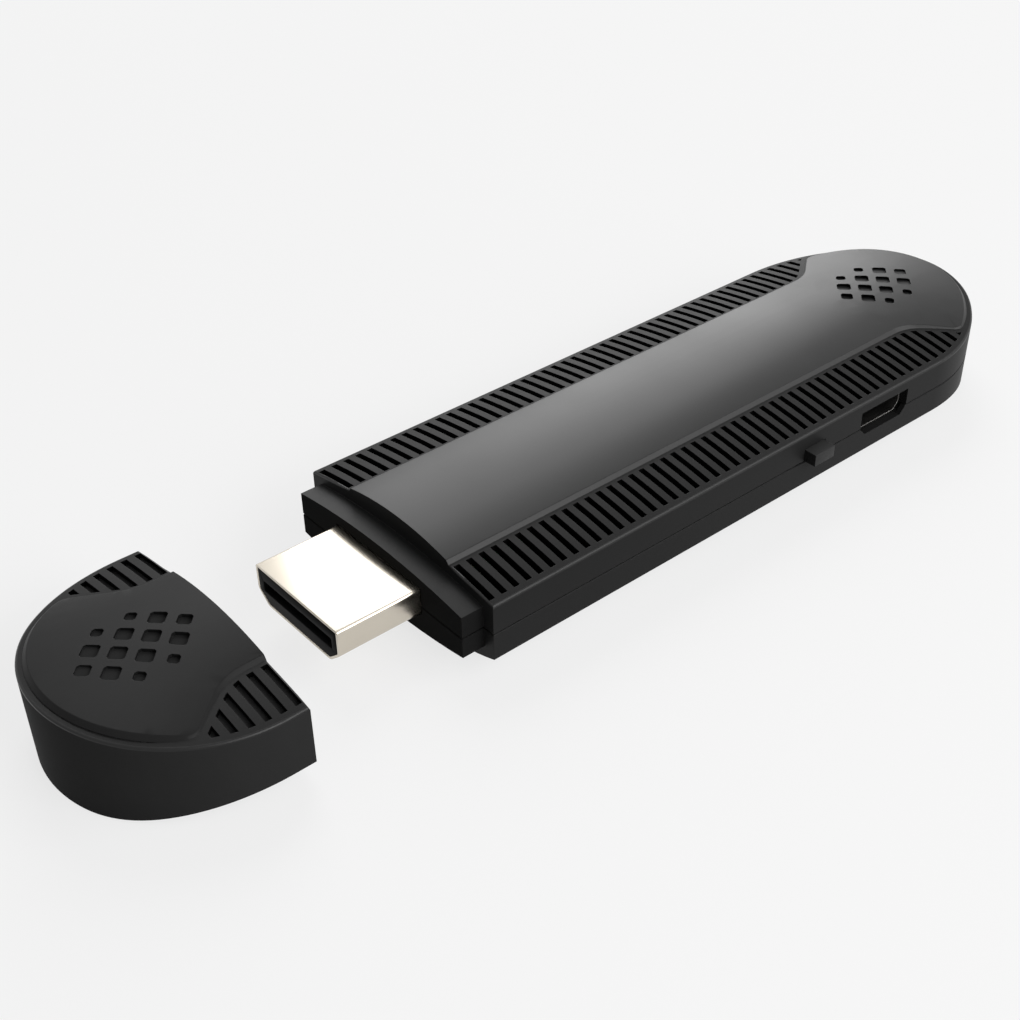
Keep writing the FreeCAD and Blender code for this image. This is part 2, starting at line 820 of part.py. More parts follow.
# Vent slots
def slot_comb(name, end, mouth, count, depth):
    """Bars for every slot, kept only over the strips and down to one depth below their crown."""
    bars = Piece(name)
    first = mouth + end.way * S["slot_first"]
    low = SIDE_TOP - depth - 1
    bar = bars.grow("XY", low, ABOVE, [rectangle(first - S["slot_width"] / 2,
                                                 first + S["slot_width"] / 2, -HALF, HALF)])
    pattern = bars.repeat_along(bar, "X_Axis", S["slot_pitch"], count)
    pattern.Reversed = end.way < 0
    strips = Piece(f"{name}_strips")
    start, stop = (mouth, end.tip) if end.way > 0 else (end.tip, mouth)
    strips.grow("YZ", start, stop, [air_section(S["strip_radius"], STRIP_TOP - depth)])
    trim_to(strips, end.outline(S["slot_edge"], mouth))
    strips.cut("XY", low - 1, ABOVE + 5, [end.panel(S["slot_margin"], mouth - end.way)])
    bars.combine(strips, "Common")
    return bars


# Heights and places that several pieces share
UPPER_LOW = S["seam_height"] + S["seam_gap"] / 2
LOWER_HIGH = S["seam_height"] - S["seam_gap"] / 2
LIP_LOW = UPPER_LOW - S["lip_depth"]
ROOM_FRONT = FRONT + S["side_wall"]
PLUG_BACK = FRONT + S["plug_tail"]
BOARD_FRONT = PLUG_BACK + S["board_front_gap"]
BOARD_INSET = S["side_wall"] + S["board_gap"]
SOCKET_FACE = S["socket_setback"] - HALF
SOCKET_BACK = SOCKET_FACE + S["socket_depth"]
BUTTON_X = FRONT + S["button_position"]
BUTTON_TOP = UPPER_LOW + S["button_height"]
BUTTON_FLANGE = S["button_play"] - INNER_HALF
BUTTON_BACK = BUTTON_FLANGE + S["button_flange"]
SWITCH_FACE = BUTTON_BACK + S["plunger_proud"]
PLUNGER_MIDDLE = BOARD_TOP + S["plunger_level"]
SPREADER_UNDER = BOARD_TOP + S["processor_height"] + S["thermal_pad_thickness"]
SCREW_PLACES = [(FRONT + S[place], side * S["screw_spread"] / 2)
                for place in ("screw_front_position", "screw_rear_position") for side in (-1, 1)]


# Casing
def shell_room(name, section, neck_room):
    """The hollow inside a shell, with the plug's way out and the socket's side opening."""
    room = Piece(name)
    room.grow("YZ", ROOM_FRONT, TAIL, [section])
    trim_to(room, tail.outline(S["side_wall"], ROOM_FRONT))
    room.grow("YZ", NECK_FACE + S["neck_front_wall"], ROOM_FRONT, [neck_room])
    room.grow("YZ", NECK_FACE - 1, ROOM_FRONT, [plug_section(S["plug_fit"])])
    room.grow("XZ", -HALF - 1, 1 - INNER_HALF, [socket_section(S["socket_opening_gap"])])
    return room


def upper_shell():
    """Upper casing: crowned roof with the raised panel, vent slots and the neck's upper half."""
    shell = Piece("upper_shell")
    roof = crowned_section(HALF, UPPER_LOW, SIDE_TOP, S["strip_radius"])
    shell.grow("YZ", FRONT, TAIL, [roof])
    trim_to(shell, tail.outline(0, FRONT))
    shell.grow("YZ", NECK_FACE, FRONT, [upper_neck(0, UPPER_LOW)])
    shell.combine(stick_panel(), "Fuse")
    ceiling = PANEL_TOP - S["roof_wall"] - sagitta(S["ceiling_radius"], INNER_HALF)
    below = UPPER_LOW - 2
    section = crowned_section(INNER_HALF, below, ceiling, S["ceiling_radius"])
    room = shell_room("upper_room", section, upper_neck(S["neck_wall"], below))
    reach = S["button_length"] / 2 + S["button_fit"]
    room.grow("XZ", -HALF - 1, 1 - INNER_HALF,
              [rectangle(BUTTON_X - reach, BUTTON_X + reach, below, BUTTON_TOP + S["button_fit"])])
    shell.combine(room, "Cut")
    shell.combine(shell_lip(), "Fuse")
    shell.combine(slot_comb("slots", tail, FRONT, S["slot_count"], S["slot_depth"]), "Cut")
    return shell


def shell_lip():
    """A thin lip that drops inside the lower shell, left out at the front, socket and button."""
    lip = Piece("shell_lip")
    outer = tail.outline(S["side_wall"] - S["lip_thickness"], ROOM_FRONT + 1)
    high = UPPER_LOW + S["lip_thickness"]
    lip.grow("XY", LIP_LOW, high, [outer, tail.outline(S["side_wall"], ROOM_FRONT + 2)])
    lip.cut("XY", LIP_LOW, high, [rectangle(ROOM_FRONT, ROOM_FRONT + 3, -HALF, HALF)])
    socket = FRONT + S["socket_position"]
    button_half = S["button_length"] / 2 + S["button_flange_lap"]
    for middle, half in ((socket, S["socket_width"] / 2), (BUTTON_X, button_half)):
        left = middle - half - S["lip_gap"]
        right = middle + half + S["lip_gap"]
        lip.cut("XY", LIP_LOW, high, [rectangle(left, right, -HALF, 1 - INNER_HALF)])
    return lip


def lower_shell():
    """Lower casing: belly with its flat land, bosses for the board and the neck's lower half."""
    shell = Piece("lower_shell")
    shell.grow("YZ", FRONT, TAIL, [belly_section(LOWER_HIGH)])
    trim_to(shell, tail.outline(0, FRONT))
    shell.grow("YZ", NECK_FACE, FRONT, [lower_neck(0, LOWER_HIGH)])
    above = LOWER_HIGH + 2
    room = dished_section(INNER_HALF, S["floor_wall"], S["floor_radius"], above)
    shell.combine(shell_room("lower_room", room, lower_neck(S["neck_wall"], above)), "Cut")
    rebate = S["side_wall"] - S["lip_thickness"] - S["lip_fit"]
    shell.cut("XY", LIP_LOW, LOWER_HIGH, [tail.outline(rebate, FRONT + rebate)])
    bosses = [(x, y, S["boss_diameter"] / 2) for x, y in SCREW_PLACES]
    shell.grow("XY", S["boss_foot_height"], BOARD_BOTTOM, [], bosses)
    bores = [(x, y, S["screw_diameter"] / 2 + S["screw_fit"]) for x, y in SCREW_PLACES]
    bore_floor = BOARD_TOP - S["screw_length"] - S["screw_fit"]
    shell.cut("XY", bore_floor, BOARD_BOTTOM, [], bores)
    return shell


def end_cap():
    """The cap: one moulding with the stick's section, hollow over the neck and the plug."""
    cap = Piece("end_cap")
    edge = S["belly_depth"]
    section = [(-HALF, SIDE_TOP, S["strip_radius"]), (-HALF, edge), (-LAND, 0, BELLY_RADIUS),
               (LAND, 0), (HALF, edge, BELLY_RADIUS), (HALF, SIDE_TOP)]
    cap.grow("YZ", CAP_TIP, CAP_MOUTH, [section])
    trim_to(cap, nose.outline(0, CAP_MOUTH))
    cap.combine(cap_panel(), "Fuse")
    room = Piece("cap_room")
    room.grow("YZ", CAP_TIP, CAP_MOUTH + 1, [whole_neck(-S["cap_clearance"])])
    trim_to(room, nose.outline(S["cap_wall"], CAP_MOUTH + 1))
    cap.combine(room, "Cut")
    slots = slot_comb("cap_slots", nose, CAP_MOUTH, S["cap_slot_count"], S["cap_slot_depth"])
    cap.combine(slots, "Cut")
    return cap


# Video plug
def hdmi_shell():
    """The plug's folded metal shell, with a leg on each side that stands on the board."""
    shell = Piece("hdmi_shell")
    shell.grow("YZ", PLUG_TIP, PLUG_BACK, [plug_section(0), plug_section(-S["plug_metal"])])
    outer = S["plug_width"] / 2
    inner = outer - S["plug_metal"]
    back = PLUG_BACK + S["leg_length"]
    legs = [rectangle(PLUG_BACK, back, inner, outer), rectangle(PLUG_BACK, back, -outer, -inner)]
    shell.grow("XY", BOARD_TOP, BOARD_TOP + S["leg_height"], legs)
    return shell


def hdmi_insulator():
    """The plug's moulded core, with the slot that a television's socket tongue enters."""
    core = Piece("hdmi_insulator")
    core.grow("YZ", PLUG_TIP, PLUG_BACK, [plug_section(-S["plug_metal"])])
    core.cut("YZ", PLUG_TIP, PLUG_TIP + S["mouth_depth"], [mouth_section()])
    return core


def mouth_section():
    middle = S["seam_height"] + S["mouth_lift"]
    half = S["mouth_height"] / 2
    return rectangle(-S["mouth_width"] / 2, S["mouth_width"] / 2, middle - half, middle + half)


def hdmi_contacts():
    """Ten contacts under the slot's roof, nine on its floor, and their tails on the board."""
    contacts = Piece("hdmi_contacts")
    start = PLUG_TIP + S["video_contact_setback"]
    end = start + S["video_contact_length"]
    half = S["video_contact_width"] / 2
    thick = S["video_contact_thickness"]
    low, high = mouth_section()[0][1], mouth_section()[2][1]
    for count, bottom, top in ((10, high - thick, high), (9, low, low + thick)):
        first = -(count - 1) * S["video_contact_pitch"] / 2
        row = contacts.grow("XY", bottom, top, [rectangle(start, end, first - half, first + half)])
        contacts.repeat_along(row, "Y_Axis", S["video_contact_pitch"], size(count))
    first = -9 * S["video_tail_pitch"]
    half = S["video_tail_width"] / 2
    tails = contacts.grow("XY", BOARD_TOP, BOARD_TOP + thick,
                          [rectangle(PLUG_BACK, PLUG_BACK + S["video_tail_length"],
                                     first - half, first + half)])
    contacts.repeat_along(tails, "Y_Axis", S["video_tail_pitch"], size(19))
    return contacts


# Board and what is soldered to it
def main_board():
    """The circuit board, with the stick's own outline and four screw holes."""
    board = Piece("main_board")
    board.grow("XY", BOARD_BOTTOM, BOARD_TOP, [tail.outline(BOARD_INSET, BOARD_FRONT)])
    holes = [(x, y, S["screw_diameter"] / 2 + S["board_hole_fit"]) for x, y in SCREW_PLACES]
    board.cut("XY", BOARD_BOTTOM, BOARD_TOP, [], holes)
    return board


def block(name, x, y, length, width, low, high, bevel=None):
    """A component's body around a place on the board, with bevelled top edges."""
    piece = Piece(name)
    x = FRONT + S[x]
    length, width = S[length] / 2, S[width] / 2
    piece.grow("XY", low, high, [rectangle(x - length, x + length, S[y] - width, S[y] + width)])
    if bevel:
        piece.soften("Chamfer", lambda edge: in_plane(edge, 2, high), S[bevel])
    return piece


def chips():
    """Processor, memory, flash store, radio module and its can, each on the board."""
    top = BOARD_TOP
    processor = block("soc_chip", "processor_position", "centre_line", "processor_length",
                      "processor_length", top, top + S["processor_height"], "chip_bevel")
    memory = block("memory_chip", "memory_position", "centre_line", "memory_length",
                   "memory_width", top, top + S["memory_height"], "chip_bevel")
    flash = block("flash_chip", "flash_position", "centre_line", "flash_length",
                  "flash_width", BOARD_BOTTOM - S["flash_height"], BOARD_BOTTOM)
    radio = block("wifi_module", "radio_position", "radio_offset", "radio_length",
                  "radio_length", top, top + S["radio_height"], "chip_bevel")
    pad = block("thermal_pad", "processor_position", "centre_line", "processor_length",
                "processor_length", top + S["processor_height"], SPREADER_UNDER)
    return [processor, memory, flash, radio, pad]


def wifi_shield():
    """A drawn metal can that stands on the board over the radio module."""
    can = Piece("wifi_shield")
    x = FRONT + S["radio_position"]
    half = S["radio_length"] / 2 + S["can_gap"] + S["can_metal"]
    low = BOARD_TOP
    high = BOARD_TOP + S["radio_height"] + S["can_gap"] + S["can_metal"]
    middle = S["radio_offset"]
    can.grow("XY", low, high, [rectangle(x - half, x + half, middle - half, middle + half)])
    can.soften("Chamfer", lambda edge: not in_plane(edge, 2, low), S["can_metal"])
    inner = half - S["can_metal"]
    can.cut("XY", low, high - S["can_metal"],
            [rectangle(x - inner, x + inner, middle - inner, middle + inner)])
    return can


def heat_spreader():
    """A folded metal plate over the processor, standing on the board along both sides."""
    plate = Piece("heat_spreader")
    half = S["spreader_width"] / 2
    metal = S["spreader_metal"]
    under = SPREADER_UNDER
    top = under + metal
    section = [(-half, BOARD_TOP), (metal - half, BOARD_TOP), (metal - half, under),
               (half - metal, under), (half - metal, BOARD_TOP), (half, BOARD_TOP),
               (half, top), (-half, top)]
    start = FRONT + S["spreader_position"]
    plate.grow("YZ", start, start + S["spreader_length"], [section])
    plate.soften("Fillet", lambda edge: in_plane(edge, 2, top) and edge.BoundBox.XLength > 1, metal)
    return plate


def power_parts():
    """Inductor, regulator and crystal near the power socket."""
    top = BOARD_TOP
    inductor = block("power_inductor", "inductor_position", "inductor_offset", "inductor_length",
                     "inductor_length", top, top + S["inductor_height"], "inductor_bevel")
    regulator = block("power_regulator", "regulator_position", "regulator_offset",
                      "regulator_length", "regulator_length", top, top + S["regulator_height"])
    crystal = block("crystal_oscillator", "crystal_position", "crystal_offset", "crystal_length",
                    "crystal_width", top, top + S["crystal_height"], "crystal_bevel")
    return [inductor, regulator, crystal]


def row_of(name, count, start, pitch, offset, length, width, height):
    """A row of small parts along the board, joined into one group on both sides."""
    group = Piece(name)
    x = FRONT + S[start]
    half_length, half_width = S[length] / 2, S[width] / 2
    left, right = x - half_length, x + half_length
    near = rectangle(left, right, S[offset] - half_width, S[offset] + half_width)
    far = rectangle(left, right, -S[offset] - half_width, -S[offset] + half_width)
    pads = group.grow("XY", BOARD_TOP, BOARD_TOP + S[height], [near, far])
    group.repeat_along(pads, "X_Axis", S[pitch], size(count))
    return group


def small_parts():
    capacitors = row_of("capacitors", 7, "capacitor_start", "capacitor_pitch", "capacitor_offset",
                        "capacitor_length", "capacitor_width", "capacitor_height")
    resistors = row_of("resistors", 5, "resistor_start", "resistor_pitch", "resistor_offset",
                       "resistor_length", "resistor_width", "resistor_height")
    return [capacitors, resistors]


def antenna():
    """A folded strip at the tail: a foot on the board, an upright and a wide arm."""
    strip = Piece("antenna")
    metal = S["antenna_metal"]
    foot = FRONT + S["antenna_position"]
    upright = foot + S["antenna_foot"]
    arm = upright + S["antenna_arm"]
    high = BOARD_TOP + S["antenna_height"]
    section = [(foot, BOARD_TOP), (upright, BOARD_TOP), (upright, high - metal),
               (arm, high - metal), (arm, high), (upright - metal, high),
               (upright - metal, BOARD_TOP + metal), (foot, BOARD_TOP + metal)]
    half = S["antenna_width"] / 2
    strip.grow("XZ", -half, half, [section])
    return strip


def board_screws():
    """Four small screws through the board into the bosses."""
    screws = Piece("board_screws")
    heads = [(x, y, S["screw_head_width"] / 2) for x, y in SCREW_PLACES]
    shanks = [(x, y, S["screw_diameter"] / 2) for x, y in SCREW_PLACES]
    sockets = [(x, y, S["screw_recess_width"] / 2) for x, y in SCREW_PLACES]
    top = BOARD_TOP + S["screw_head_height"]
    screws.grow("XY", BOARD_TOP, top, [], heads)
    screws.soften("Chamfer", lambda edge: in_plane(edge, 2, top), S["screw_head_bevel"])
    screws.grow("XY", BOARD_TOP - S["screw_length"], BOARD_TOP, [], shanks)
    screws.cut("XY", top - S["screw_recess"], top, [], sockets)
    return screws


# Power socket
def usb_shell():
    """The socket's metal shell, open at the stick's side and closed at its back."""
    shell = Piece("usb_shell")
    shell.grow("XZ", SOCKET_FACE, SOCKET_BACK, [socket_section(0)])
    metal = S["socket_metal"]
    shell.cut("XZ", SOCKET_FACE, SOCKET_BACK - metal, [socket_section(-metal)])
    return shell


def usb_tongue():
    """The socket's moulded base and the tongue that carries the contacts."""
    tongue = Piece("usb_tongue")
    metal = S["socket_metal"]
    back = SOCKET_BACK - metal
    base = back - S["tongue_base"]
    tongue.grow("XZ", base, back, [socket_section(-metal)])
    tongue.grow("XZ", SOCKET_FACE + S["tongue_setback"], base, [tongue_section()])
    return tongue


def tongue_section():
    middle = FRONT + S["socket_position"]
    half = S["tongue_width"] / 2
    low = BOARD_TOP + S["socket_height"] / 2 + S["tongue_lift"]
    return rectangle(middle - half, middle + half, low, low + S["tongue_thickness"])


def usb_contacts():
    """Five contacts under the tongue."""
    contacts = Piece("usb_contacts")
    low = tongue_section()[0][1]
    middle = FRONT + S["socket_position"]
    first = middle - 2 * S["power_contact_pitch"]
    half = S["power_contact_width"] / 2
    start = SOCKET_FACE + S["tongue_setback"] + S["power_contact_setback"]
    end = SOCKET_BACK - S["socket_metal"] - S["tongue_base"]
    row = contacts.grow("XY", low - S["power_contact_thickness"], low,
                        [rectangle(first - half, first + half, start, end)])
    contacts.repeat_along(row, "X_Axis", S["power_contact_pitch"], size(5))
    return contacts


# Mode button and switch
def mode_button():
    """A plain key through the side wall, kept in by a flange behind the wall."""
    button = Piece("mode_button")
    half = S["button_length"] / 2
    face = -HALF - S["button_proud"]
    button.grow("XZ", face, BUTTON_FLANGE,
                [rectangle(BUTTON_X - half, BUTTON_X + half, UPPER_LOW, BUTTON_TOP)])
    button.soften("Fillet", lambda edge: in_plane(edge, 1, face), S["button_round"])
    wide = half + S["button_flange_lap"]
    button.grow("XZ", BUTTON_FLANGE, BUTTON_BACK,
                [rectangle(BUTTON_X - wide, BUTTON_X + wide, UPPER_LOW,
                           BUTTON_TOP + S["button_flange_lap"])])
    return button


def plunger_section(grown):
    half = S["plunger_length"] / 2 + grown
    tall = S["plunger_height"] / 2 + grown
    return rectangle(BUTTON_X - half, BUTTON_X + half, PLUNGER_MIDDLE - tall, PLUNGER_MIDDLE + tall)


def switch_plunger():
    """The switch's own plunger, which the button's back rests on."""
    plunger = Piece("switch_plunger")
    plunger.grow("XZ", BUTTON_BACK, SWITCH_FACE + S["plunger_depth"], [plunger_section(0)])
    return plunger


def switch_body():
    """A side-pressed switch on the board, with a pocket that the plunger slides in."""
    body = Piece("switch_body")
    half = S["switch_length"] / 2
    body.grow("XY", BOARD_TOP, BOARD_TOP + S["switch_height"],
              [rectangle(BUTTON_X - half, BUTTON_X + half, SWITCH_FACE,
                         SWITCH_FACE + S["switch_depth"])])
    pocket = S["plunger_depth"] + S["button_travel"] + S["plunger_fit"]
    body.cut("XZ", SWITCH_FACE, SWITCH_FACE + pocket, [plunger_section(S["plunger_fit"])])
    return body


def check_and_export(pieces):
    """Stops if anything failed to build, then writes one file for each piece."""
    doc.recompute()
    for item in doc.Objects:
        if "Invalid" in item.State or "Error" in item.State:
            raise RuntimeError(f"{item.Name} failed to build")
    os.makedirs("parts", exist_ok=True)
    for piece in pieces:
        shape = piece.body.Shape
        if shape.isNull() or not shape.isValid() or not shape.Solids:
            raise RuntimeError(f"{piece.label} has no valid solid")
        shape.exportStep(f"parts/{piece.label}.step")
        print(piece.label, len(shape.Solids), round(shape.Volume, 3))


pieces = [upper_shell(), lower_shell(), end_cap(), hdmi_shell(), hdmi_insulator(),
          hdmi_contacts(), main_board(), wifi_shield(), heat_spreader(), antenna(),
          board_screws(), usb_shell(), usb_tongue(), usb_contacts(), mode_button(),
          switch_plunger(), switch_body()]
pieces += chips() + power_parts() + small_parts()
check_and_export(pieces)
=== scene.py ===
# Looks of the wireless display dongle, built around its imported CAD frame.
# +X runs along the stick to its rounded tail, +Z is up, the underside lies on Z = 0.
# Sizes and places are in millimetres, and MM turns them into Blender's metres.
import math
from collections import namedtuple

import bpy
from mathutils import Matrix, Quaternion, Vector


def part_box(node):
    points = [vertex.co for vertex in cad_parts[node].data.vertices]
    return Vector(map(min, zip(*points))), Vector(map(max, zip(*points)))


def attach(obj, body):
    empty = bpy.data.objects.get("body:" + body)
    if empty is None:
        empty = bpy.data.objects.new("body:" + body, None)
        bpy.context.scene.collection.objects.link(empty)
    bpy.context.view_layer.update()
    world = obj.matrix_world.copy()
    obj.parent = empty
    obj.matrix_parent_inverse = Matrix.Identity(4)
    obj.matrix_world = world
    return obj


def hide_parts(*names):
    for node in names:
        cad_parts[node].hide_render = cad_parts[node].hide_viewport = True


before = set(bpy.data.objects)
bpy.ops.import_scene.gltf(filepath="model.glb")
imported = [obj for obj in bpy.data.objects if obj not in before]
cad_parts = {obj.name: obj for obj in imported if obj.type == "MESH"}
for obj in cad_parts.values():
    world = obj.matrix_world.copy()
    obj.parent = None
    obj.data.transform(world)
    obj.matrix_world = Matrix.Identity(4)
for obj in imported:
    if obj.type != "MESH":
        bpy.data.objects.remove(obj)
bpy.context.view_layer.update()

MM = 0.001
NEAR = 0.01


# Handling a piece as by hand
Facet = namedtuple("Facet", "middle normal lowest highest")


def facets(mesh):
    """Each face of a mesh, and its middle, normal, lowest and highest point for a test to judge."""
    for face in mesh.polygons:
        heights = [mesh.vertices[v].co.z / MM for v in face.vertices]
        yield face, Facet(face.center / MM, face.normal, min(heights), max(heights))


def only(*pieces):
    """Makes these pieces the whole selection, the last of them active."""
    bpy.ops.object.select_all(action="DESELECT")
    for piece in pieces:
        piece.select_set(True)
        bpy.context.view_layer.objects.active = piece


def edit(piece):
    """Opens the piece in edit mode with all of it selected."""
    only(piece)
    bpy.ops.object.mode_set(mode="EDIT")
    bpy.ops.mesh.select_mode(type="FACE")
    bpy.ops.mesh.select_all(action="SELECT")


def close_edit():
    bpy.ops.object.mode_set(mode="OBJECT")


def select_nothing(mesh):
    for group in (mesh.vertices, mesh.edges, mesh.polygons):
        group.foreach_set("select", [False] * len(group))


def pick_faces(piece, test):
    """Selects the faces that pass a test and goes on editing."""
    bpy.ops.object.mode_set(mode="OBJECT")
    select_nothing(piece.data)
    for face, facet in facets(piece.data):
        face.select = test(facet)
    bpy.ops.object.mode_set(mode="EDIT")
    bpy.ops.mesh.select_mode(type="FACE")


def pick_edges(piece, test, between=None):
    """Selects the edges whose ends pass a test and goes on editing; says how many there are.

    Where between gives two tests of faces, only an edge that joins two such faces counts.
    """
    bpy.ops.object.mode_set(mode="OBJECT")
    mesh = piece.data
    select_nothing(mesh)
    allowed = {edge.key for edge in mesh.edges}
    for kind in between or ():
        allowed &= {key for face, facet in facets(mesh) if kind(facet) for key in face.edge_keys}
    count = 0
    for edge in mesh.edges:
        ends = [mesh.vertices[v].co / MM for v in edge.vertices]
        edge.select = edge.key in allowed and test(*ends)
        count += edge.select
    bpy.ops.object.mode_set(mode="EDIT")
    bpy.ops.mesh.select_mode(type="EDGE")
    return count


def round_off(width, steps, **settings):
    """Bevels the picked edges."""
    bpy.ops.mesh.bevel(offset=width * MM, segments=steps, affect="EDGES", **settings)


def cut_level(height):
    """Cuts the selected faces along a level line."""
    bpy.ops.mesh.bisect(plane_co=(0, 0, height * MM), plane_no=(0, 0, 1))


def use_modifier(piece, kind, **settings):
    """Adds a modifier with these settings and applies it."""
    only(piece)
    modifier = piece.modifiers.new(kind.title(), kind)
    for name, value in settings.items():
        setattr(modifier, name, value)
    bpy.ops.object.modifier_apply(modifier=modifier.name)


def soften(piece, width, sharper_than):
    """Takes the edge off every fold that is sharper than an angle."""
    use_modifier(piece, "BEVEL", width=width * MM, segments=2, limit_method="ANGLE",
                 angle_limit=math.radians(sharper_than))


def thicken(piece, thickness):
    """Gives an open sheet its wall, inwards."""
    use_modifier(piece, "SOLIDIFY", thickness=thickness * MM, offset=-1, use_even_offset=True)


def smooth(piece, degrees=30):
    only(piece)
    bpy.ops.object.shade_smooth_by_angle(angle=math.radians(degrees))


def block(name, low, high):
    """A box between two corners, ready to be shaped."""
    low, high = Vector(low), Vector(high)
    bpy.ops.object.select_all(action="DESELECT")
    bpy.ops.mesh.primitive_cube_add(size=1, location=(low + high) / 2 * MM)
    piece = bpy.context.object
    piece.name = name
    piece.scale = (high - low) * MM
    bpy.ops.object.transform_apply(location=True, rotation=True, scale=True)
    return piece


def join(name, *pieces):
    """Makes one piece of several."""
    only(*reversed(pieces))
    bpy.ops.object.join()
    pieces[0].name = name
    return pieces[0]


def take_over(piece, solid, body):
    """The piece stands in for a CAD node, rides on its body and hides the node."""
    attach(piece, body)
    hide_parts(solid)


def corners(solid):
    """A CAD node's lowest and highest corners."""
    low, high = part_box(solid)
    return Vector(low) / MM, Vector(high) / MM


def runs_along(axis, *spots):
    """A test for edges that run along an axis, at one of these spots across it."""
    across = [i for i in range(3) if i != axis]

    def test(a, b):
        if any(abs(a[i] - b[i]) > NEAR for i in across):
            return False
        return not spots or any(all(abs(a[i] - v) < NEAR for i, v in zip(across, spot))
                                for spot in spots)
    return test


# Building finishes from nodes
NOISE_RANGE = (0.3, 0.7)


def node(tree, kind, inputs=None, **settings):
    """Adds a node; a number or colour sets its input, an output socket is linked to it."""
    made = tree.nodes.new(kind)
    for name, value in settings.items():
        setattr(made, name, value)
    for name, value in (inputs or {}).items():
        if isinstance(value, bpy.types.NodeSocket):
            tree.links.new(value, made.inputs[name])
        else:
            made.inputs[name].default_value = value
    return made


def maths(tree, operation, first, second):
    return node(tree, "ShaderNodeMath", {0: first, 1: second}, operation=operation).outputs[0]


def stretch(tree, value, old_range, low=0.0, high=1.0):
    """A value moved from one range to another, and held inside it."""
    made = node(tree, "ShaderNodeMapRange", {"Value": value, "From Min": old_range[0],
                                             "From Max": old_range[1],
                                             "To Min": low, "To Max": high})
    return made.outputs["Result"]


def noise(tree, place, scale, detail, roughness=0.5):
    made = node(tree, "ShaderNodeTexNoise", {"Vector": place, "Scale": scale, "Detail": detail,
                                             "Roughness": roughness})
    return made.outputs["Fac"]


def object_place(tree):
    return node(tree, "ShaderNodeTexCoord").outputs["Object"]


def blend_colours(tree, factor, first, second):
    """A colour that goes from the first to the second with the factor; a number is a grey."""
    mix = node(tree, "ShaderNodeMix", {0: factor}, data_type="RGBA")
    for socket, colour in ((mix.inputs[6], first), (mix.inputs[7], second)):
        if isinstance(colour, bpy.types.NodeSocket):
            tree.links.new(colour, socket)
        elif isinstance(colour, tuple):
            socket.default_value = (*colour, 1.0)
        else:
            socket.default_value = (colour, colour, colour, 1.0)
    return mix.outputs[2]


def blend_shaders(tree, factor, first, second):
    mix = node(tree, "ShaderNodeMixShader", {0: factor})
    tree.links.new(first.outputs[0], mix.inputs[1])
    tree.links.new(second.outputs[0], mix.inputs[2])
    return mix.outputs[0]


# Effects shared by the finishes
def new_group(name, inputs, outputs):
    """An empty shader node group with named number inputs and outputs."""
    group = bpy.data.node_groups.new(name, "ShaderNodeTree")
    for label, value in inputs.items():
        socket = group.interface.new_socket(label, in_out="INPUT", socket_type="NodeSocketFloat")
        socket.default_value = value
    for label, kind in outputs.items():
        group.interface.new_socket(label, in_out="OUTPUT", socket_type=kind)
    return group, group.nodes.new("NodeGroupInput"), group.nodes.new("NodeGroupOutput")


def moulded_grain_group():
    """Fine spark-eroded mould texture: a height for bump and a slow tone that varies the finish."""
    group, given, out = new_group("moulded_grain",
                                  {"Grain size": 0.14 * MM, "Drift size": 12 * MM},
                                  {"Height": "NodeSocketFloat", "Drift": "NodeSocketFloat"})
    place = object_place(group)
    fine = maths(group, "DIVIDE", 1.0, given.outputs["Grain size"])
    slow = maths(group, "DIVIDE", 1.0, given.outputs["Drift size"])
    group.links.new(noise(group, place, fine, detail=2.0, roughness=0.6), out.inputs["Height"])
    group.links.new(noise(group, place, slow, detail=3.0, roughness=0.55), out.inputs["Drift"])
    return group


def edge_wear_and_glint_group():
    """A mask that is 1 along outer edges and 0 on open faces: rubbed wear on most finishes, a
    painted highlight where a finish gives its edges a bright tone.
    """
    group, given, out = new_group("edge_wear_and_glint", {"Reach": 0.18 * MM, "Patchiness": 0.5},
                                  {"Mask": "NodeSocketFloat", "Rounded": "NodeSocketVector"})
    rounded = node(group, "ShaderNodeBevel", {"Radius": given.outputs["Reach"]}, samples=6)
    flat = node(group, "ShaderNodeNewGeometry")
    match = node(group, "ShaderNodeVectorMath",
                 {0: rounded.outputs["Normal"], 1: flat.outputs["Normal"]}, operation="DOT_PRODUCT")
    turned = stretch(group, match.outputs["Value"], (0.995, 0.85))
    patches = stretch(group, noise(group, object_place(group), 260.0, detail=4.0), (0.35, 0.65))
    kept = node(group, "ShaderNodeMix", {0: given.outputs["Patchiness"], 2: 1.0, 3: patches},
                data_type="FLOAT")
    group.links.new(maths(group, "MULTIPLY", turned, kept.outputs[0]), out.inputs["Mask"])
    group.links.new(rounded.outputs["Normal"], out.inputs["Rounded"])
    return group


MOULDED_GRAIN = moulded_grain_group()
EDGE_WEAR_AND_GLINT = edge_wear_and_glint_group()


# The two kinds of finish
MOULD_RELIEF = 0.003
MOULD_SWAY = (-0.02, 0.03)
EDGE_POLISH = 0.08
METAL_EDGE = 0.1
METAL_CLOUDS = 160.0


def new_material(name):
    """A material, its node tree and its Principled shader."""
    material = bpy.data.materials.new(name)
    material.use_nodes = True
    return material, material.node_tree, material.node_tree.nodes["Principled BSDF"]


def dress(tree, shader, colour, roughness, height, relief, wear):
    """Gives a shader its colour, its roughness and a bump over the rounded edges."""
    bump = node(tree, "ShaderNodeBump", {"Height": height, "Normal": wear.outputs["Rounded"],
                                         "Strength": 1.0, "Distance": relief * MM})
    for label, value in (("Base Color", colour), ("Roughness", roughness),
                         ("Normal", bump.outputs["Normal"])):
        tree.links.new(value, shader.inputs[label])


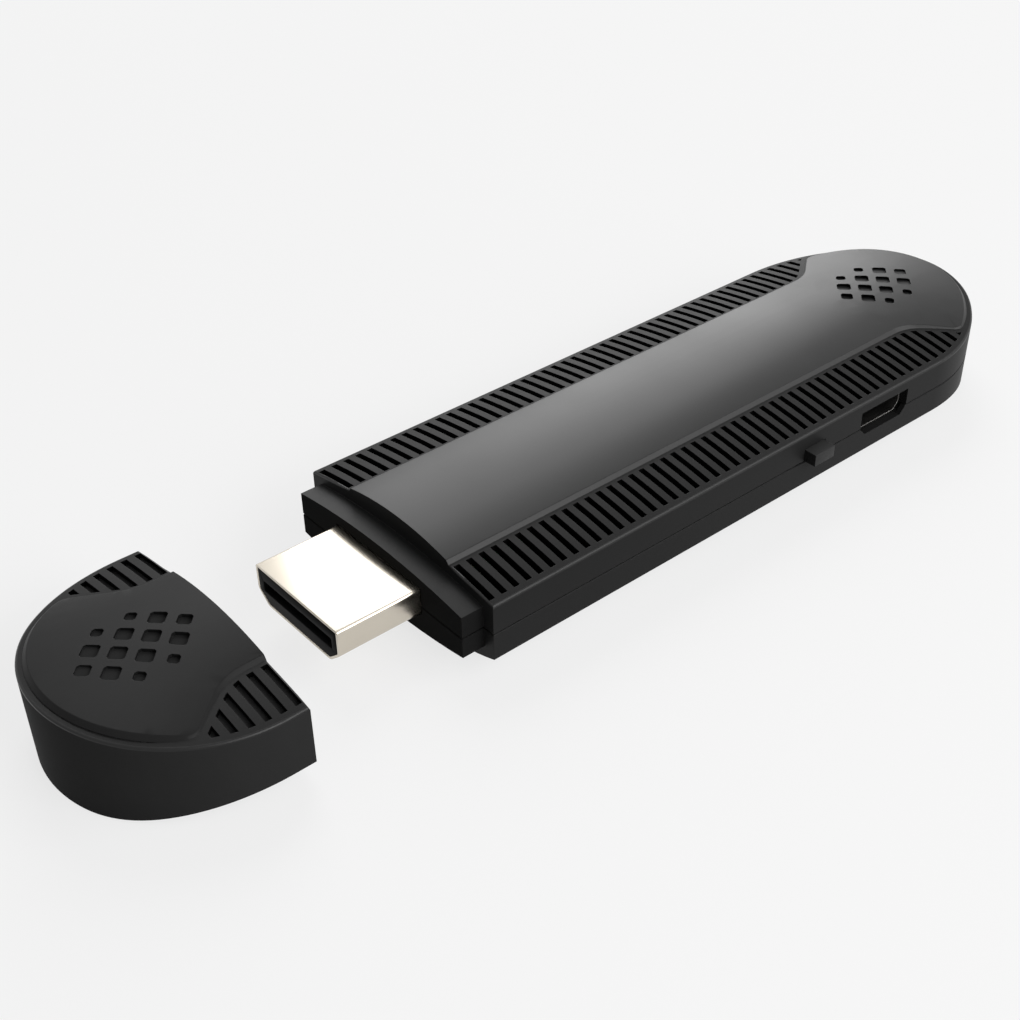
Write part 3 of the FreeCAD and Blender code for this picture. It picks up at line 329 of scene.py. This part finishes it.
def moulded_plastic(name, tones, worn_and_glint, roughness, specular, grain=0.14, edge=0.06):
    """Satin moulded plastic: a tone drifting between two, eroded grain, polished edges and a worn
    edge tone, which on the socket's tongue is a painted highlight.
    """
    material, tree, shader = new_material(name)
    grains = node(tree, "ShaderNodeGroup", {"Grain size": grain * MM}, node_tree=MOULDED_GRAIN)
    wear = node(tree, "ShaderNodeGroup", {"Reach": edge * MM, "Patchiness": 0.45},
                node_tree=EDGE_WEAR_AND_GLINT)
    body = blend_colours(tree, stretch(tree, grains.outputs["Drift"], NOISE_RANGE), *tones)
    matt = stretch(tree, grains.outputs["Drift"], NOISE_RANGE,
                   roughness + MOULD_SWAY[0], roughness + MOULD_SWAY[1])
    polished = maths(tree, "MULTIPLY", wear.outputs["Mask"], EDGE_POLISH)
    dress(tree, shader, blend_colours(tree, wear.outputs["Mask"], body, worn_and_glint),
          maths(tree, "SUBTRACT", matt, polished), grains.outputs["Height"], MOULD_RELIEF, wear)
    shader.inputs["Specular IOR Level"].default_value = specular
    return material


def drawn_metal(name, tones, roughness, worn_and_glint=None, stretch_by=(1.0, 9.0, 9.0), grain=0.25,
                relief=0.0015, sway=0.08):
    """Plated or bare metal with a faint rolling direction; where an edge tone is given, its edges
    are brighter, a painted highlight.
    """
    material, tree, shader = new_material(name)
    place = object_place(tree)
    along = node(tree, "ShaderNodeMapping", {"Vector": place, "Scale": stretch_by})
    lines = noise(tree, along.outputs["Vector"], 1 / (grain * MM) / max(stretch_by), detail=3.0)
    clouds = noise(tree, place, METAL_CLOUDS, detail=3.0)
    wear = node(tree, "ShaderNodeGroup", {"Reach": METAL_EDGE * MM, "Patchiness": 0.2},
                node_tree=EDGE_WEAR_AND_GLINT)
    body = blend_colours(tree, stretch(tree, clouds, NOISE_RANGE), *tones)
    dress(tree, shader, blend_colours(tree, wear.outputs["Mask"], body, worn_and_glint or tones[0]),
          stretch(tree, lines, NOISE_RANGE, roughness - sway * 0.4, roughness + sway * 0.6),
          lines, relief, wear)
    shader.inputs["Metallic"].default_value = 1.0
    return material


# Finishes of the outside: for plastic its two tones, worn tone (on the tongue a painted highlight),
# roughness and specular level
CASE_MATT = moulded_plastic("matt_black_case", (0.0095, 0.0118), 0.024, 0.48, 0.085)
CASE_SATIN = moulded_plastic("satin_black_panel", (0.0085, 0.0105), 0.024, 0.36, 0.25)
NECK_SATIN = moulded_plastic("satin_black_neck", (0.010, 0.0125), 0.024, 0.42, 0.14)
# A dull copy of the black finish that paints shade: darker than the button and the cap it lies on,
# and without the sheen of the neck's other faces.
DULL_SHADE_BLACK = moulded_plastic("dull_black_painted_shade", (0.010, 0.0125), 0.02, 0.7, 0.01)
CAP_MATT = moulded_plastic("dull_black_cap", (0.024, 0.028), 0.042, 0.6, 0.015)
CAP_SATIN = moulded_plastic("satin_black_cap_top", (0.012, 0.0145), 0.026, 0.4, 0.085)
# Near-black finish that paints shade on the slots' walls and floors and on the stick's dimple walls,
# which lie in recesses.
SLOT_SHADE_BLACK = moulded_plastic("painted_shade_slots", (0.0016, 0.0024), 0.004, 0.8, 0.01)
BUTTON_PLASTIC = moulded_plastic("button_black", (0.026, 0.03), 0.05, 0.5, 0.1, edge=0.04)
CORE_PLASTIC = moulded_plastic("plug_core_black", (0.004, 0.0055), 0.01, 0.55, 0.05)
# The tongue's worn tone of 0.3 paints a bright highlight line along its edges.
TONGUE_PLASTIC = moulded_plastic("socket_tongue_black", (0.03, 0.036), 0.3, 0.4, 0.3, edge=0.08)
PLUG_METAL = drawn_metal("champagne_plating", ((0.64, 0.59, 0.51), (0.6, 0.55, 0.47)), 0.24,
                         grain=0.4, relief=0.00005, sway=0.02)
# The socket's near-black plating is partly its own dark tone and partly painted shade for its
# inside; its edge tone of 0.3 paints a bright highlight along the lip.
SOCKET_METAL = drawn_metal("socket_plating", ((0.04, 0.039, 0.037), (0.032, 0.031, 0.03)), 0.45,
                           worn_and_glint=(0.3, 0.29, 0.28))

# Finishes of the parts inside
CAN_METAL = drawn_metal("shield_tin", ((0.72, 0.72, 0.7), (0.62, 0.62, 0.61)), 0.3)
SPREADER_METAL = drawn_metal("spreader_aluminium", ((0.78, 0.79, 0.8), (0.68, 0.69, 0.7)), 0.34)
SCREW_STEEL = drawn_metal("zinc_screw", ((0.6, 0.6, 0.58), (0.5, 0.5, 0.49)), 0.3,
                          stretch_by=(1.0, 1.0, 1.0))
GOLD = drawn_metal("contact_gold", ((0.86, 0.62, 0.27), (0.78, 0.55, 0.22)), 0.24)
ANTENNA_METAL = drawn_metal("antenna_strip", ((0.74, 0.7, 0.62), (0.66, 0.62, 0.55)), 0.3)
PACKAGE = moulded_plastic("chip_resin", (0.018, 0.023), 0.04, 0.55, 0.4, grain=0.08)
FERRITE = moulded_plastic("ferrite_grey", (0.05, 0.07), 0.1, 0.7, 0.4, grain=0.12)
RUBBER = moulded_plastic("thermal_pad_blue", ((0.2, 0.33, 0.42), (0.25, 0.38, 0.46)),
                         (0.3, 0.42, 0.5), 0.75, 0.35, grain=0.3)
CERAMIC = moulded_plastic("ceramic_tan", ((0.36, 0.24, 0.14), (0.42, 0.29, 0.18)),
                          (0.5, 0.4, 0.3), 0.5, 0.5, grain=0.1)
RESISTOR = moulded_plastic("resistor_black", (0.02, 0.026), 0.3, 0.5, 0.5, grain=0.1)
SWITCH = moulded_plastic("switch_black", (0.02, 0.026), 0.04, 0.5, 0.4)
LAMINATE = moulded_plastic("board_mask", ((0.006, 0.05, 0.022), (0.009, 0.065, 0.03)),
                           (0.3, 0.28, 0.15), 0.35, 0.5, grain=0.4)

NODE_FINISHES = {
    "upper_shell": CASE_MATT, "lower_shell": CASE_MATT, "end_cap": CAP_MATT,
    "hdmi_shell": PLUG_METAL, "hdmi_insulator": CORE_PLASTIC, "hdmi_contacts": GOLD,
    "usb_contacts": GOLD, "main_board": LAMINATE, "wifi_shield": CAN_METAL,
    "crystal_oscillator": CAN_METAL, "heat_spreader": SPREADER_METAL, "antenna": ANTENNA_METAL,
    "board_screws": SCREW_STEEL, "usb_shell": SOCKET_METAL, "usb_tongue": TONGUE_PLASTIC,
    "mode_button": BUTTON_PLASTIC, "switch_plunger": SWITCH, "switch_body": SWITCH,
    "soc_chip": PACKAGE, "memory_chip": PACKAGE, "flash_chip": PACKAGE, "wifi_module": PACKAGE,
    "power_regulator": PACKAGE, "thermal_pad": RUBBER, "power_inductor": FERRITE,
    "capacitors": CERAMIC, "resistors": RESISTOR,
}
for solid, finish in NODE_FINISHES.items():
    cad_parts[solid].data.materials.clear()
    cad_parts[solid].data.materials.append(finish)


# Casing: its crown, its features' places and the rounding of its edges
STRIP_TOP = 10.015  # the strips' crown on the centre line
STRIP_RADIUS = 73.5
HALF_WIDTH = 14.85
PANEL_TOP = 10.895
PANEL_LIFT = 0.03  # what stands higher above the crown belongs to the panel
DIMPLE_MIDDLES = (31.0, -71.24)  # along the stick, one in its head and one in the cap's
DIMPLE_PITCH = (1.7, 1.92)
DIMPLE_REACH = 3.7  # in pitches, how far a diamond reaches from its middle
SLOT_ENDS = (7.5, 14.3)  # from the centre line
SLOT_DEPTH = 1.4
SLOT_BOTTOM = 7.0
FRONT = -42.3  # the stick's front face, where the neck begins
BEYOND = 20.0  # further than this from the middle a wall may face along the stick
SEAM = 5.0
UPPER_WALL = 6.5  # the outer walls cross this height above the seam
LOWER_WALL = 2.2  # and this one below it
RIM_ROUND = 0.26
PANEL_ROUND = 0.07
SEAM_ROUND = 0.09


def strip_height(y):
    """The crown of the vented strips at a distance from the centre line."""
    return STRIP_TOP - STRIP_RADIUS + math.sqrt(STRIP_RADIUS ** 2 - min(abs(y), HALF_WIDTH) ** 2)


def depth(facet):
    """How far a face lies below the crown of the strips."""
    return strip_height(facet.middle.y) - facet.middle.z


def upright(facet):
    return abs(facet.normal.z) < 0.2


def faces_up(facet):
    return facet.normal.z > 0.9


def on_strip(facet):
    return faces_up(facet) and abs(depth(facet)) < 0.08


def on_panel(facet):
    return depth(facet) < -PANEL_LIFT and abs(facet.normal.x) < 0.9


def on_rim(facet):
    return 0.15 < facet.normal.z < 0.975 and -0.02 < depth(facet) < 0.3


def on_neck(facet):
    return facet.middle.x < FRONT - 0.1


def on_neck_top(facet):
    return on_neck(facet) and facet.normal.z > 0.5


def in_dimples(facet):
    """Whether a face is in the diamond of dimples of either head."""
    along = min(abs(facet.middle.x - middle) for middle in DIMPLE_MIDDLES)
    return along / DIMPLE_PITCH[0] + abs(facet.middle.y) / DIMPLE_PITCH[1] < DIMPLE_REACH


def on_dimple_wall(facet):
    return in_dimples(facet) and upright(facet) and depth(facet) < 0


def on_dimple_floor(facet):
    flat = facet.normal.z > 0.9999
    return in_dimples(facet) and flat and 0.3 < PANEL_TOP - facet.middle.z < 0.7


def among_slots(facet):
    return SLOT_ENDS[0] < abs(facet.middle.y) < SLOT_ENDS[1] and depth(facet) < SLOT_DEPTH


def on_slot_wall(facet):
    return among_slots(facet) and upright(facet) and facet.lowest > SLOT_BOTTOM


def on_slot_floor(facet):
    return among_slots(facet) and faces_up(facet) and depth(facet) > 0.3


def pick_rim(piece):
    """Selects the outer top rim: the edges where a tall upright wall meets a strip."""
    def on_crown(a, b):
        return all(abs(end.z - strip_height(end.y)) < 0.03 for end in (a, b))

    def tall_wall(facet):
        return upright(facet) and facet.lowest < UPPER_WALL
    return pick_edges(piece, on_crown, between=(tall_wall, faces_up))


def pick_panel_edge(piece):
    """Selects the raised panel's upper edge, where its top turns down into its bevel."""
    def top(facet):
        return on_panel(facet) and faces_up(facet)

    def slope(facet):
        return on_panel(facet) and 0.3 < facet.normal.z < 0.85
    return pick_edges(piece, lambda a, b: True, between=(top, slope))


def pick_seam(piece):
    """Selects the seam's outer edge: where the outer wall meets the face along the seam."""
    def by_seam(a, b):
        return all(0.03 < abs(end.z - SEAM) < 0.07 for end in (a, b))

    def outer_wall(facet):
        middle, normal = facet.middle, facet.normal
        outward = normal.y * middle.y > 0.05 or abs(middle.x) > BEYOND and normal.x * middle.x > 0
        tall = facet.highest > UPPER_WALL or facet.lowest < LOWER_WALL
        return upright(facet) and outward and tall

    def level(facet):
        return abs(facet.normal.z) > 0.9
    return pick_edges(piece, by_seam, between=(outer_wall, level))


def true_crown(piece):
    """Gives the strips' faces the exact normals of their crown, which long facets only come near."""
    mesh = piece.data
    normals = [Vector(corner.vector) for corner in mesh.corner_normals]
    for face, facet in facets(mesh):
        if on_strip(facet) and facet.normal.z > 0.97:
            for corner in face.loop_indices:
                y = mesh.vertices[mesh.loops[corner].vertex_index].co.y / MM
                normals[corner] = Vector((0, y, math.sqrt(STRIP_RADIUS ** 2 - y * y))).normalized()
    mesh.normals_split_custom_set(normals)


def moulding(name, solid, body, finish, zones):
    """A copy of a moulded solid, merged and its edges rounded, with a finish for each zone."""
    piece = bpy.data.objects.new(name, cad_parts[solid].data.copy())
    bpy.context.collection.objects.link(piece)
    edit(piece)
    bpy.ops.mesh.remove_doubles(threshold=0.002 * MM)
    pick_faces(piece, on_strip)
    bpy.ops.mesh.beautify_fill(angle_limit=math.radians(20))
    bpy.ops.mesh.select_all(action="SELECT")
    bpy.ops.mesh.dissolve_limited(angle_limit=math.radians(0.3))
    if pick_rim(piece):
        round_off(RIM_ROUND, steps=3, loop_slide=False)
    if pick_panel_edge(piece):
        round_off(PANEL_ROUND, steps=2)
    if pick_seam(piece):
        round_off(SEAM_ROUND, steps=1)
    close_edit()
    bpy.ops.mesh.customdata_custom_splitnormals_clear()
    piece.data.materials.clear()
    for material in (finish, *(zone[0] for zone in zones)):
        piece.data.materials.append(material)
    for face, facet in facets(piece.data):
        found = [i for i, zone in enumerate(zones) if zone[1](facet)]
        face.material_index = found[0] + 1 if found else 0
    smooth(piece, degrees=25)
    use_modifier(piece, "WEIGHTED_NORMAL", keep_sharp=True, weight=60)
    true_crown(piece)
    take_over(piece, solid, body)


# Painted shade: near-black on the dimples' walls and on the slots' walls and floors, and the dull
# shaded copy on the neck's sides.
moulding("case_top", "upper_shell", "stick", CASE_MATT,
         [(SLOT_SHADE_BLACK, on_dimple_wall), (NECK_SATIN, on_dimple_floor), (CASE_SATIN, on_panel),
          (CASE_SATIN, on_rim), (NECK_SATIN, on_neck_top), (DULL_SHADE_BLACK, on_neck),
          (SLOT_SHADE_BLACK, on_slot_wall), (SLOT_SHADE_BLACK, on_slot_floor)])
# Painted shade: the dull shaded copy on the lower neck's sides.
moulding("case_bottom", "lower_shell", "stick", CASE_MATT, [(DULL_SHADE_BLACK, on_neck)])
# Painted shade: the dull shaded copy on the cap's dimple walls, and near-black on its slots' walls.
moulding("cap_moulding", "end_cap", "cap", CAP_MATT,
         [(DULL_SHADE_BLACK, on_dimple_wall), (CAP_MATT, on_dimple_floor), (CAP_SATIN, on_panel),
          (CASE_SATIN, on_rim), (CAP_SATIN, on_strip), (SLOT_SHADE_BLACK, on_slot_wall)])


# Video plug
PLUG_LOW, PLUG_HIGH = corners("hdmi_shell")
PLUG_BACK = corners("hdmi_insulator")[1].x
PLUG_STEP = PLUG_HIGH.z - 3.0
PLUG_HALF_FOOT = 5.3
FOOT_SLOPE = 0.8  # the share of an inset that narrows the foot, whose sides slope
PLUG_SHEET = 0.28
PLUG_BEND = 0.32
PLUG_FOLD = 0.3
LEG_TOP = 5.4
MOUTH_HALF_WIDTH = 5.8
MOUTH_STEPS = ((-1, 2, 4.45, 5.72), (1.9, 8, 4.25, 5.9))  # start, end, floor and ceiling


def plug_body(name, inset, low_x, high_x):
    """A block with the plug's section: upright sides above, drawn in to a narrower foot."""
    piece = block(name, (low_x, PLUG_LOW.y + inset, PLUG_LOW.z + inset),
                  (high_x, PLUG_HIGH.y - inset, PLUG_HIGH.z - inset))
    edit(piece)
    cut_level(PLUG_STEP)
    pick_faces(piece, lambda facet: facet.normal.z < -0.9)
    foot = (PLUG_HALF_FOOT - inset * FOOT_SLOPE) / (PLUG_HIGH.y - inset)
    bpy.ops.transform.resize(value=(1, foot, 1), center_override=(0, 0, 0))
    return piece


def video_plug_shell():
    """Folded sheet shell with rounded bends, a thin rim and a leg on each side."""
    piece = plug_body("video_plug_shell", 0, PLUG_LOW.x, PLUG_BACK)
    bpy.ops.mesh.select_all(action="SELECT")
    cut_level(LEG_TOP)
    pick_faces(piece, lambda facet: abs(facet.normal.x) > 0.9)
    bpy.ops.mesh.delete(type="FACE")
    bends = [(side * y, z) for y, z in ((PLUG_HIGH.y, PLUG_HIGH.z), (PLUG_HALF_FOOT, PLUG_LOW.z))
             for side in (-1, 1)]
    pick_edges(piece, runs_along(0, *bends))
    round_off(PLUG_BEND, steps=4)
    folds = [(side * PLUG_HIGH.y, PLUG_STEP) for side in (-1, 1)]
    pick_edges(piece, runs_along(0, *folds))
    round_off(PLUG_FOLD, steps=3)
    pick_edges(piece, lambda a, b: min(a.x, b.x) > PLUG_BACK - NEAR
               and min(abs(a.y), abs(b.y)) > PLUG_HIGH.y - NEAR
               and min(a.z, b.z) > PLUG_STEP + 0.2 and max(a.z, b.z) < LEG_TOP + NEAR)
    leg = (PLUG_HIGH.x - PLUG_BACK) * MM
    bpy.ops.mesh.extrude_edges_move(TRANSFORM_OT_translate={"value": (leg, 0, 0)})
    close_edit()
    thicken(piece, PLUG_SHEET)
    soften(piece, width=0.05, sharper_than=50)
    piece.data.materials.append(PLUG_METAL)
    smooth(piece)
    take_over(piece, "hdmi_shell", "stick")


def video_plug_core():
    """Moulded core with the wide mouth, softly rounded where it fills the shell's bends."""
    low, high = corners("hdmi_insulator")
    piece = plug_body("video_plug_core", PLUG_SHEET + 0.01, low.x + 0.03, high.x)
    close_edit()
    soften(piece, width=0.12, sharper_than=40)
    for start, end, floor, ceiling in MOUTH_STEPS:
        mouth = block("mouth_cutter", (low.x + start, -MOUTH_HALF_WIDTH, floor),
                      (low.x + end, MOUTH_HALF_WIDTH, ceiling))
        pick_edges(mouth, runs_along(0))
        round_off(width=0.2, steps=2)
        close_edit()
        use_modifier(piece, "BOOLEAN", object=mouth, operation="DIFFERENCE", solver="EXACT")
        bpy.data.objects.remove(mouth)
    soften(piece, width=0.04, sharper_than=60)
    piece.data.materials.append(CORE_PLASTIC)
    smooth(piece)
    take_over(piece, "hdmi_insulator", "stick")


video_plug_shell()
video_plug_core()


# Power socket
SOCKET_REVEAL = 0.35  # how much further in than their solids the shell and the tongue begin
SOCKET_CHAMFER = 0.95
SOCKET_BEND = 0.28
SOCKET_SHEET = 0.25
BASE_DEPTH = 1.2
BASE_CHAMFER = 0.85
BASE_PLAY = 0.02
TONGUE_HALF_WIDTH = 1.95
TONGUE_HEIGHTS = (5.5, 6.15)


def power_socket_shell():
    """Drawn socket shell: chamfered lower corners, rounded upper ones, a softened mouth."""
    low, high = corners("usb_shell")
    piece = block("power_socket_shell", (low.x, low.y + SOCKET_REVEAL, low.z), high)
    pick_faces(piece, lambda facet: facet.normal.y < -0.9)
    bpy.ops.mesh.delete(type="FACE")
    pick_edges(piece, runs_along(1, (low.x, low.z), (high.x, low.z)))
    round_off(SOCKET_CHAMFER, steps=1)
    pick_edges(piece, runs_along(1))
    round_off(SOCKET_BEND, steps=3)
    close_edit()
    thicken(piece, SOCKET_SHEET)
    soften(piece, width=0.07, sharper_than=50)
    piece.data.materials.append(SOCKET_METAL)
    smooth(piece)
    take_over(piece, "usb_shell", "stick")


def power_socket_tongue():
    """Moulded base with the tongue, its front edge tapered as a plug needs it."""
    low, high = corners("usb_tongue")
    left, right, floor = low.x + BASE_PLAY, high.x - BASE_PLAY, low.z + BASE_PLAY
    base = block("tongue_base", (left, high.y - BASE_DEPTH, floor),
                 (right, high.y, high.z - BASE_PLAY))
    pick_edges(base, runs_along(1, (left, floor), (right, floor)))
    round_off(BASE_CHAMFER, steps=1)
    close_edit()
    front, middle = low.y + SOCKET_REVEAL, (low.x + high.x) / 2
    tongue = block("tongue_blade", (middle - TONGUE_HALF_WIDTH, front, TONGUE_HEIGHTS[0]),
                   (middle + TONGUE_HALF_WIDTH, high.y - BASE_DEPTH + 0.1, TONGUE_HEIGHTS[1]))
    pick_edges(tongue, lambda a, b: max(a.y, b.y) < front + NEAR and abs(a.z - b.z) < NEAR)
    round_off(width=0.16, steps=2)
    close_edit()
    piece = join("power_socket_tongue", base, tongue)
    piece.data.materials.append(TONGUE_PLASTIC)
    smooth(piece)
    take_over(piece, "usb_tongue", "stick")


power_socket_shell()
power_socket_tongue()


# Mode button
FLANGE_WIDTH = 0.5
FLANGE_DEPTH = 0.45


def mode_button_moulding():
    """Button with soft outer edges and the flange that keeps it inside the wall."""
    low, high = corners("mode_button")
    stem = block("button_stem", (low.x + FLANGE_WIDTH, low.y, low.z),
                 (high.x - FLANGE_WIDTH, high.y - FLANGE_DEPTH + 0.05, high.z - FLANGE_WIDTH))
    pick_edges(stem, lambda a, b: max(a.y, b.y) < low.y + NEAR)
    round_off(width=0.08, steps=2)
    pick_edges(stem, runs_along(1))
    round_off(width=0.05, steps=2)
    close_edit()
    flange = block("button_flange", (low.x, high.y - FLANGE_DEPTH, low.z), high)
    pick_edges(flange, runs_along(1))
    round_off(width=0.2, steps=2)
    close_edit()
    piece = join("mode_button_moulding", stem, flange)
    for finish in (BUTTON_PLASTIC, DULL_SHADE_BLACK):
        piece.data.materials.append(finish)
    # The button's side that faces the plug takes the dull, darker finish: painted shade on that
    # side.
    for face in piece.data.polygons:
        face.material_index = int(face.normal.x < -0.8)
    smooth(piece)
    take_over(piece, "mode_button", "button")


mode_button_moulding()


# Studio
LAMP_AIM = Vector((0, 0, 8))
FILL_LIGHT = 0.15
FLOOR_SIZE = 3000
FLOOR_DROP = 0.05
FLOOR_TONE = 0.78
FLOOR_WHITE = 0.75


def softbox(name, azimuth, elevation, distance, width, height, radiance, shape="RECTANGLE",
            tilt=0):
    """A softbox that the stick sees in one direction; width, height and tilt are in degrees."""
    turn, rise = math.radians(azimuth), math.radians(elevation)
    way = Vector((math.cos(rise) * math.cos(turn), math.cos(rise) * math.sin(turn), math.sin(rise)))
    data = bpy.data.lights.new(name, "AREA")
    data.shape = shape
    data.size = 2 * distance * math.tan(math.radians(width / 2)) * MM
    data.size_y = 2 * distance * math.tan(math.radians(height / 2)) * MM
    area = data.size * data.size_y * (math.pi / 4 if shape == "ELLIPSE" else 1)
    data.energy = radiance * math.pi * area
    lamp = bpy.data.objects.new(name, data)
    lamp.location = (way * distance + LAMP_AIM) * MM
    lean = Quaternion((0, 0, 1), math.radians(tilt))
    lamp.rotation_euler = ((-way).to_track_quat("-Z", "Y") @ lean).to_euler()
    bpy.context.collection.objects.link(lamp)


softbox("back_softbox", azimuth=54, elevation=35, distance=900, width=34, height=62, radiance=3.3,
        shape="ELLIPSE", tilt=-20)
softbox("side_softbox", azimuth=-46, elevation=36, distance=900, width=31, height=31, radiance=3.4)
softbox("low_softbox", azimuth=-84, elevation=24, distance=450, width=34, height=34, radiance=5.4)


def see_white(tree):
    """1 for what the camera, a reflection or a refraction looks at."""
    path = node(tree, "ShaderNodeLightPath").outputs
    direct = maths(tree, "MAXIMUM", path["Is Camera Ray"], path["Is Glossy Ray"])
    return maths(tree, "MAXIMUM", direct, path["Is Transmission Ray"])


def studio_world():
    """Soft grey light all round; the camera and the reflections see white."""
    world = bpy.data.worlds.new("studio")
    bpy.context.scene.world = world
    world.use_nodes = True
    tree = world.node_tree
    tree.nodes.clear()
    fill, white = (node(tree, "ShaderNodeBackground", {"Color": (1, 1, 1, 1), "Strength": strength})
                   for strength in (FILL_LIGHT, 1.0))
    light = blend_shaders(tree, see_white(tree), fill, white)
    node(tree, "ShaderNodeOutputWorld", {"Surface": light})


def studio_floor():
    """A wide pale floor under the stick that keeps the object's soft shadow."""
    bpy.ops.object.select_all(action="DESELECT")
    bpy.ops.mesh.primitive_plane_add(size=FLOOR_SIZE * MM, location=(0, 0, -FLOOR_DROP * MM))
    floor = bpy.context.object
    floor.name = "studio_floor"
    material, tree, paper = new_material("pale_paper")
    paper.inputs["Base Color"].default_value = (FLOOR_TONE, FLOOR_TONE, FLOOR_TONE, 1)
    paper.inputs["Roughness"].default_value = 0.9
    paper.inputs["Specular IOR Level"].default_value = 0.0
    white = node(tree, "ShaderNodeEmission", {"Color": (1, 1, 1, 1), "Strength": 1.0})
    share = maths(tree, "MULTIPLY", see_white(tree), FLOOR_WHITE)
    tree.links.new(blend_shaders(tree, share, paper, white),
                   tree.nodes["Material Output"].inputs["Surface"])
    floor.data.materials.append(material)


studio_world()
studio_floor()


# Camera at the photograph's angle; the photograph's own measures are in pixels
PHOTO_SIZE = 1020
FOCAL_LENGTH = 1551.17
LENS_AXIS = (543.96, 537.20)
SENSOR = 36.0
CAMERA_PLACE = (-112.145, -102.114, 101.795)
CAMERA_DOWN = 37.286
CAMERA_TURN = 48.876


def photo_camera():
    """The camera that was solved from the photograph."""
    data = bpy.data.cameras.new("photo_camera")
    data.sensor_width = SENSOR
    data.lens = FOCAL_LENGTH * SENSOR / PHOTO_SIZE
    data.shift_x = (PHOTO_SIZE / 2 - LENS_AXIS[0]) / PHOTO_SIZE
    data.shift_y = (LENS_AXIS[1] - PHOTO_SIZE / 2) / PHOTO_SIZE
    data.clip_start = 5 * MM
    data.clip_end = 20000 * MM
    camera = bpy.data.objects.new("photo_camera", data)
    down, turn = math.radians(CAMERA_DOWN), math.radians(CAMERA_TURN)
    look = Vector((math.cos(down) * math.cos(turn), math.cos(down) * math.sin(turn),
                   -math.sin(down)))
    camera.location = Vector(CAMERA_PLACE) * MM
    camera.rotation_euler = look.to_track_quat("-Z", "Y").to_euler()
    bpy.context.collection.objects.link(camera)
    bpy.context.scene.camera = camera


photo_camera()
bpy.context.scene.view_settings.view_transform = "Standard"
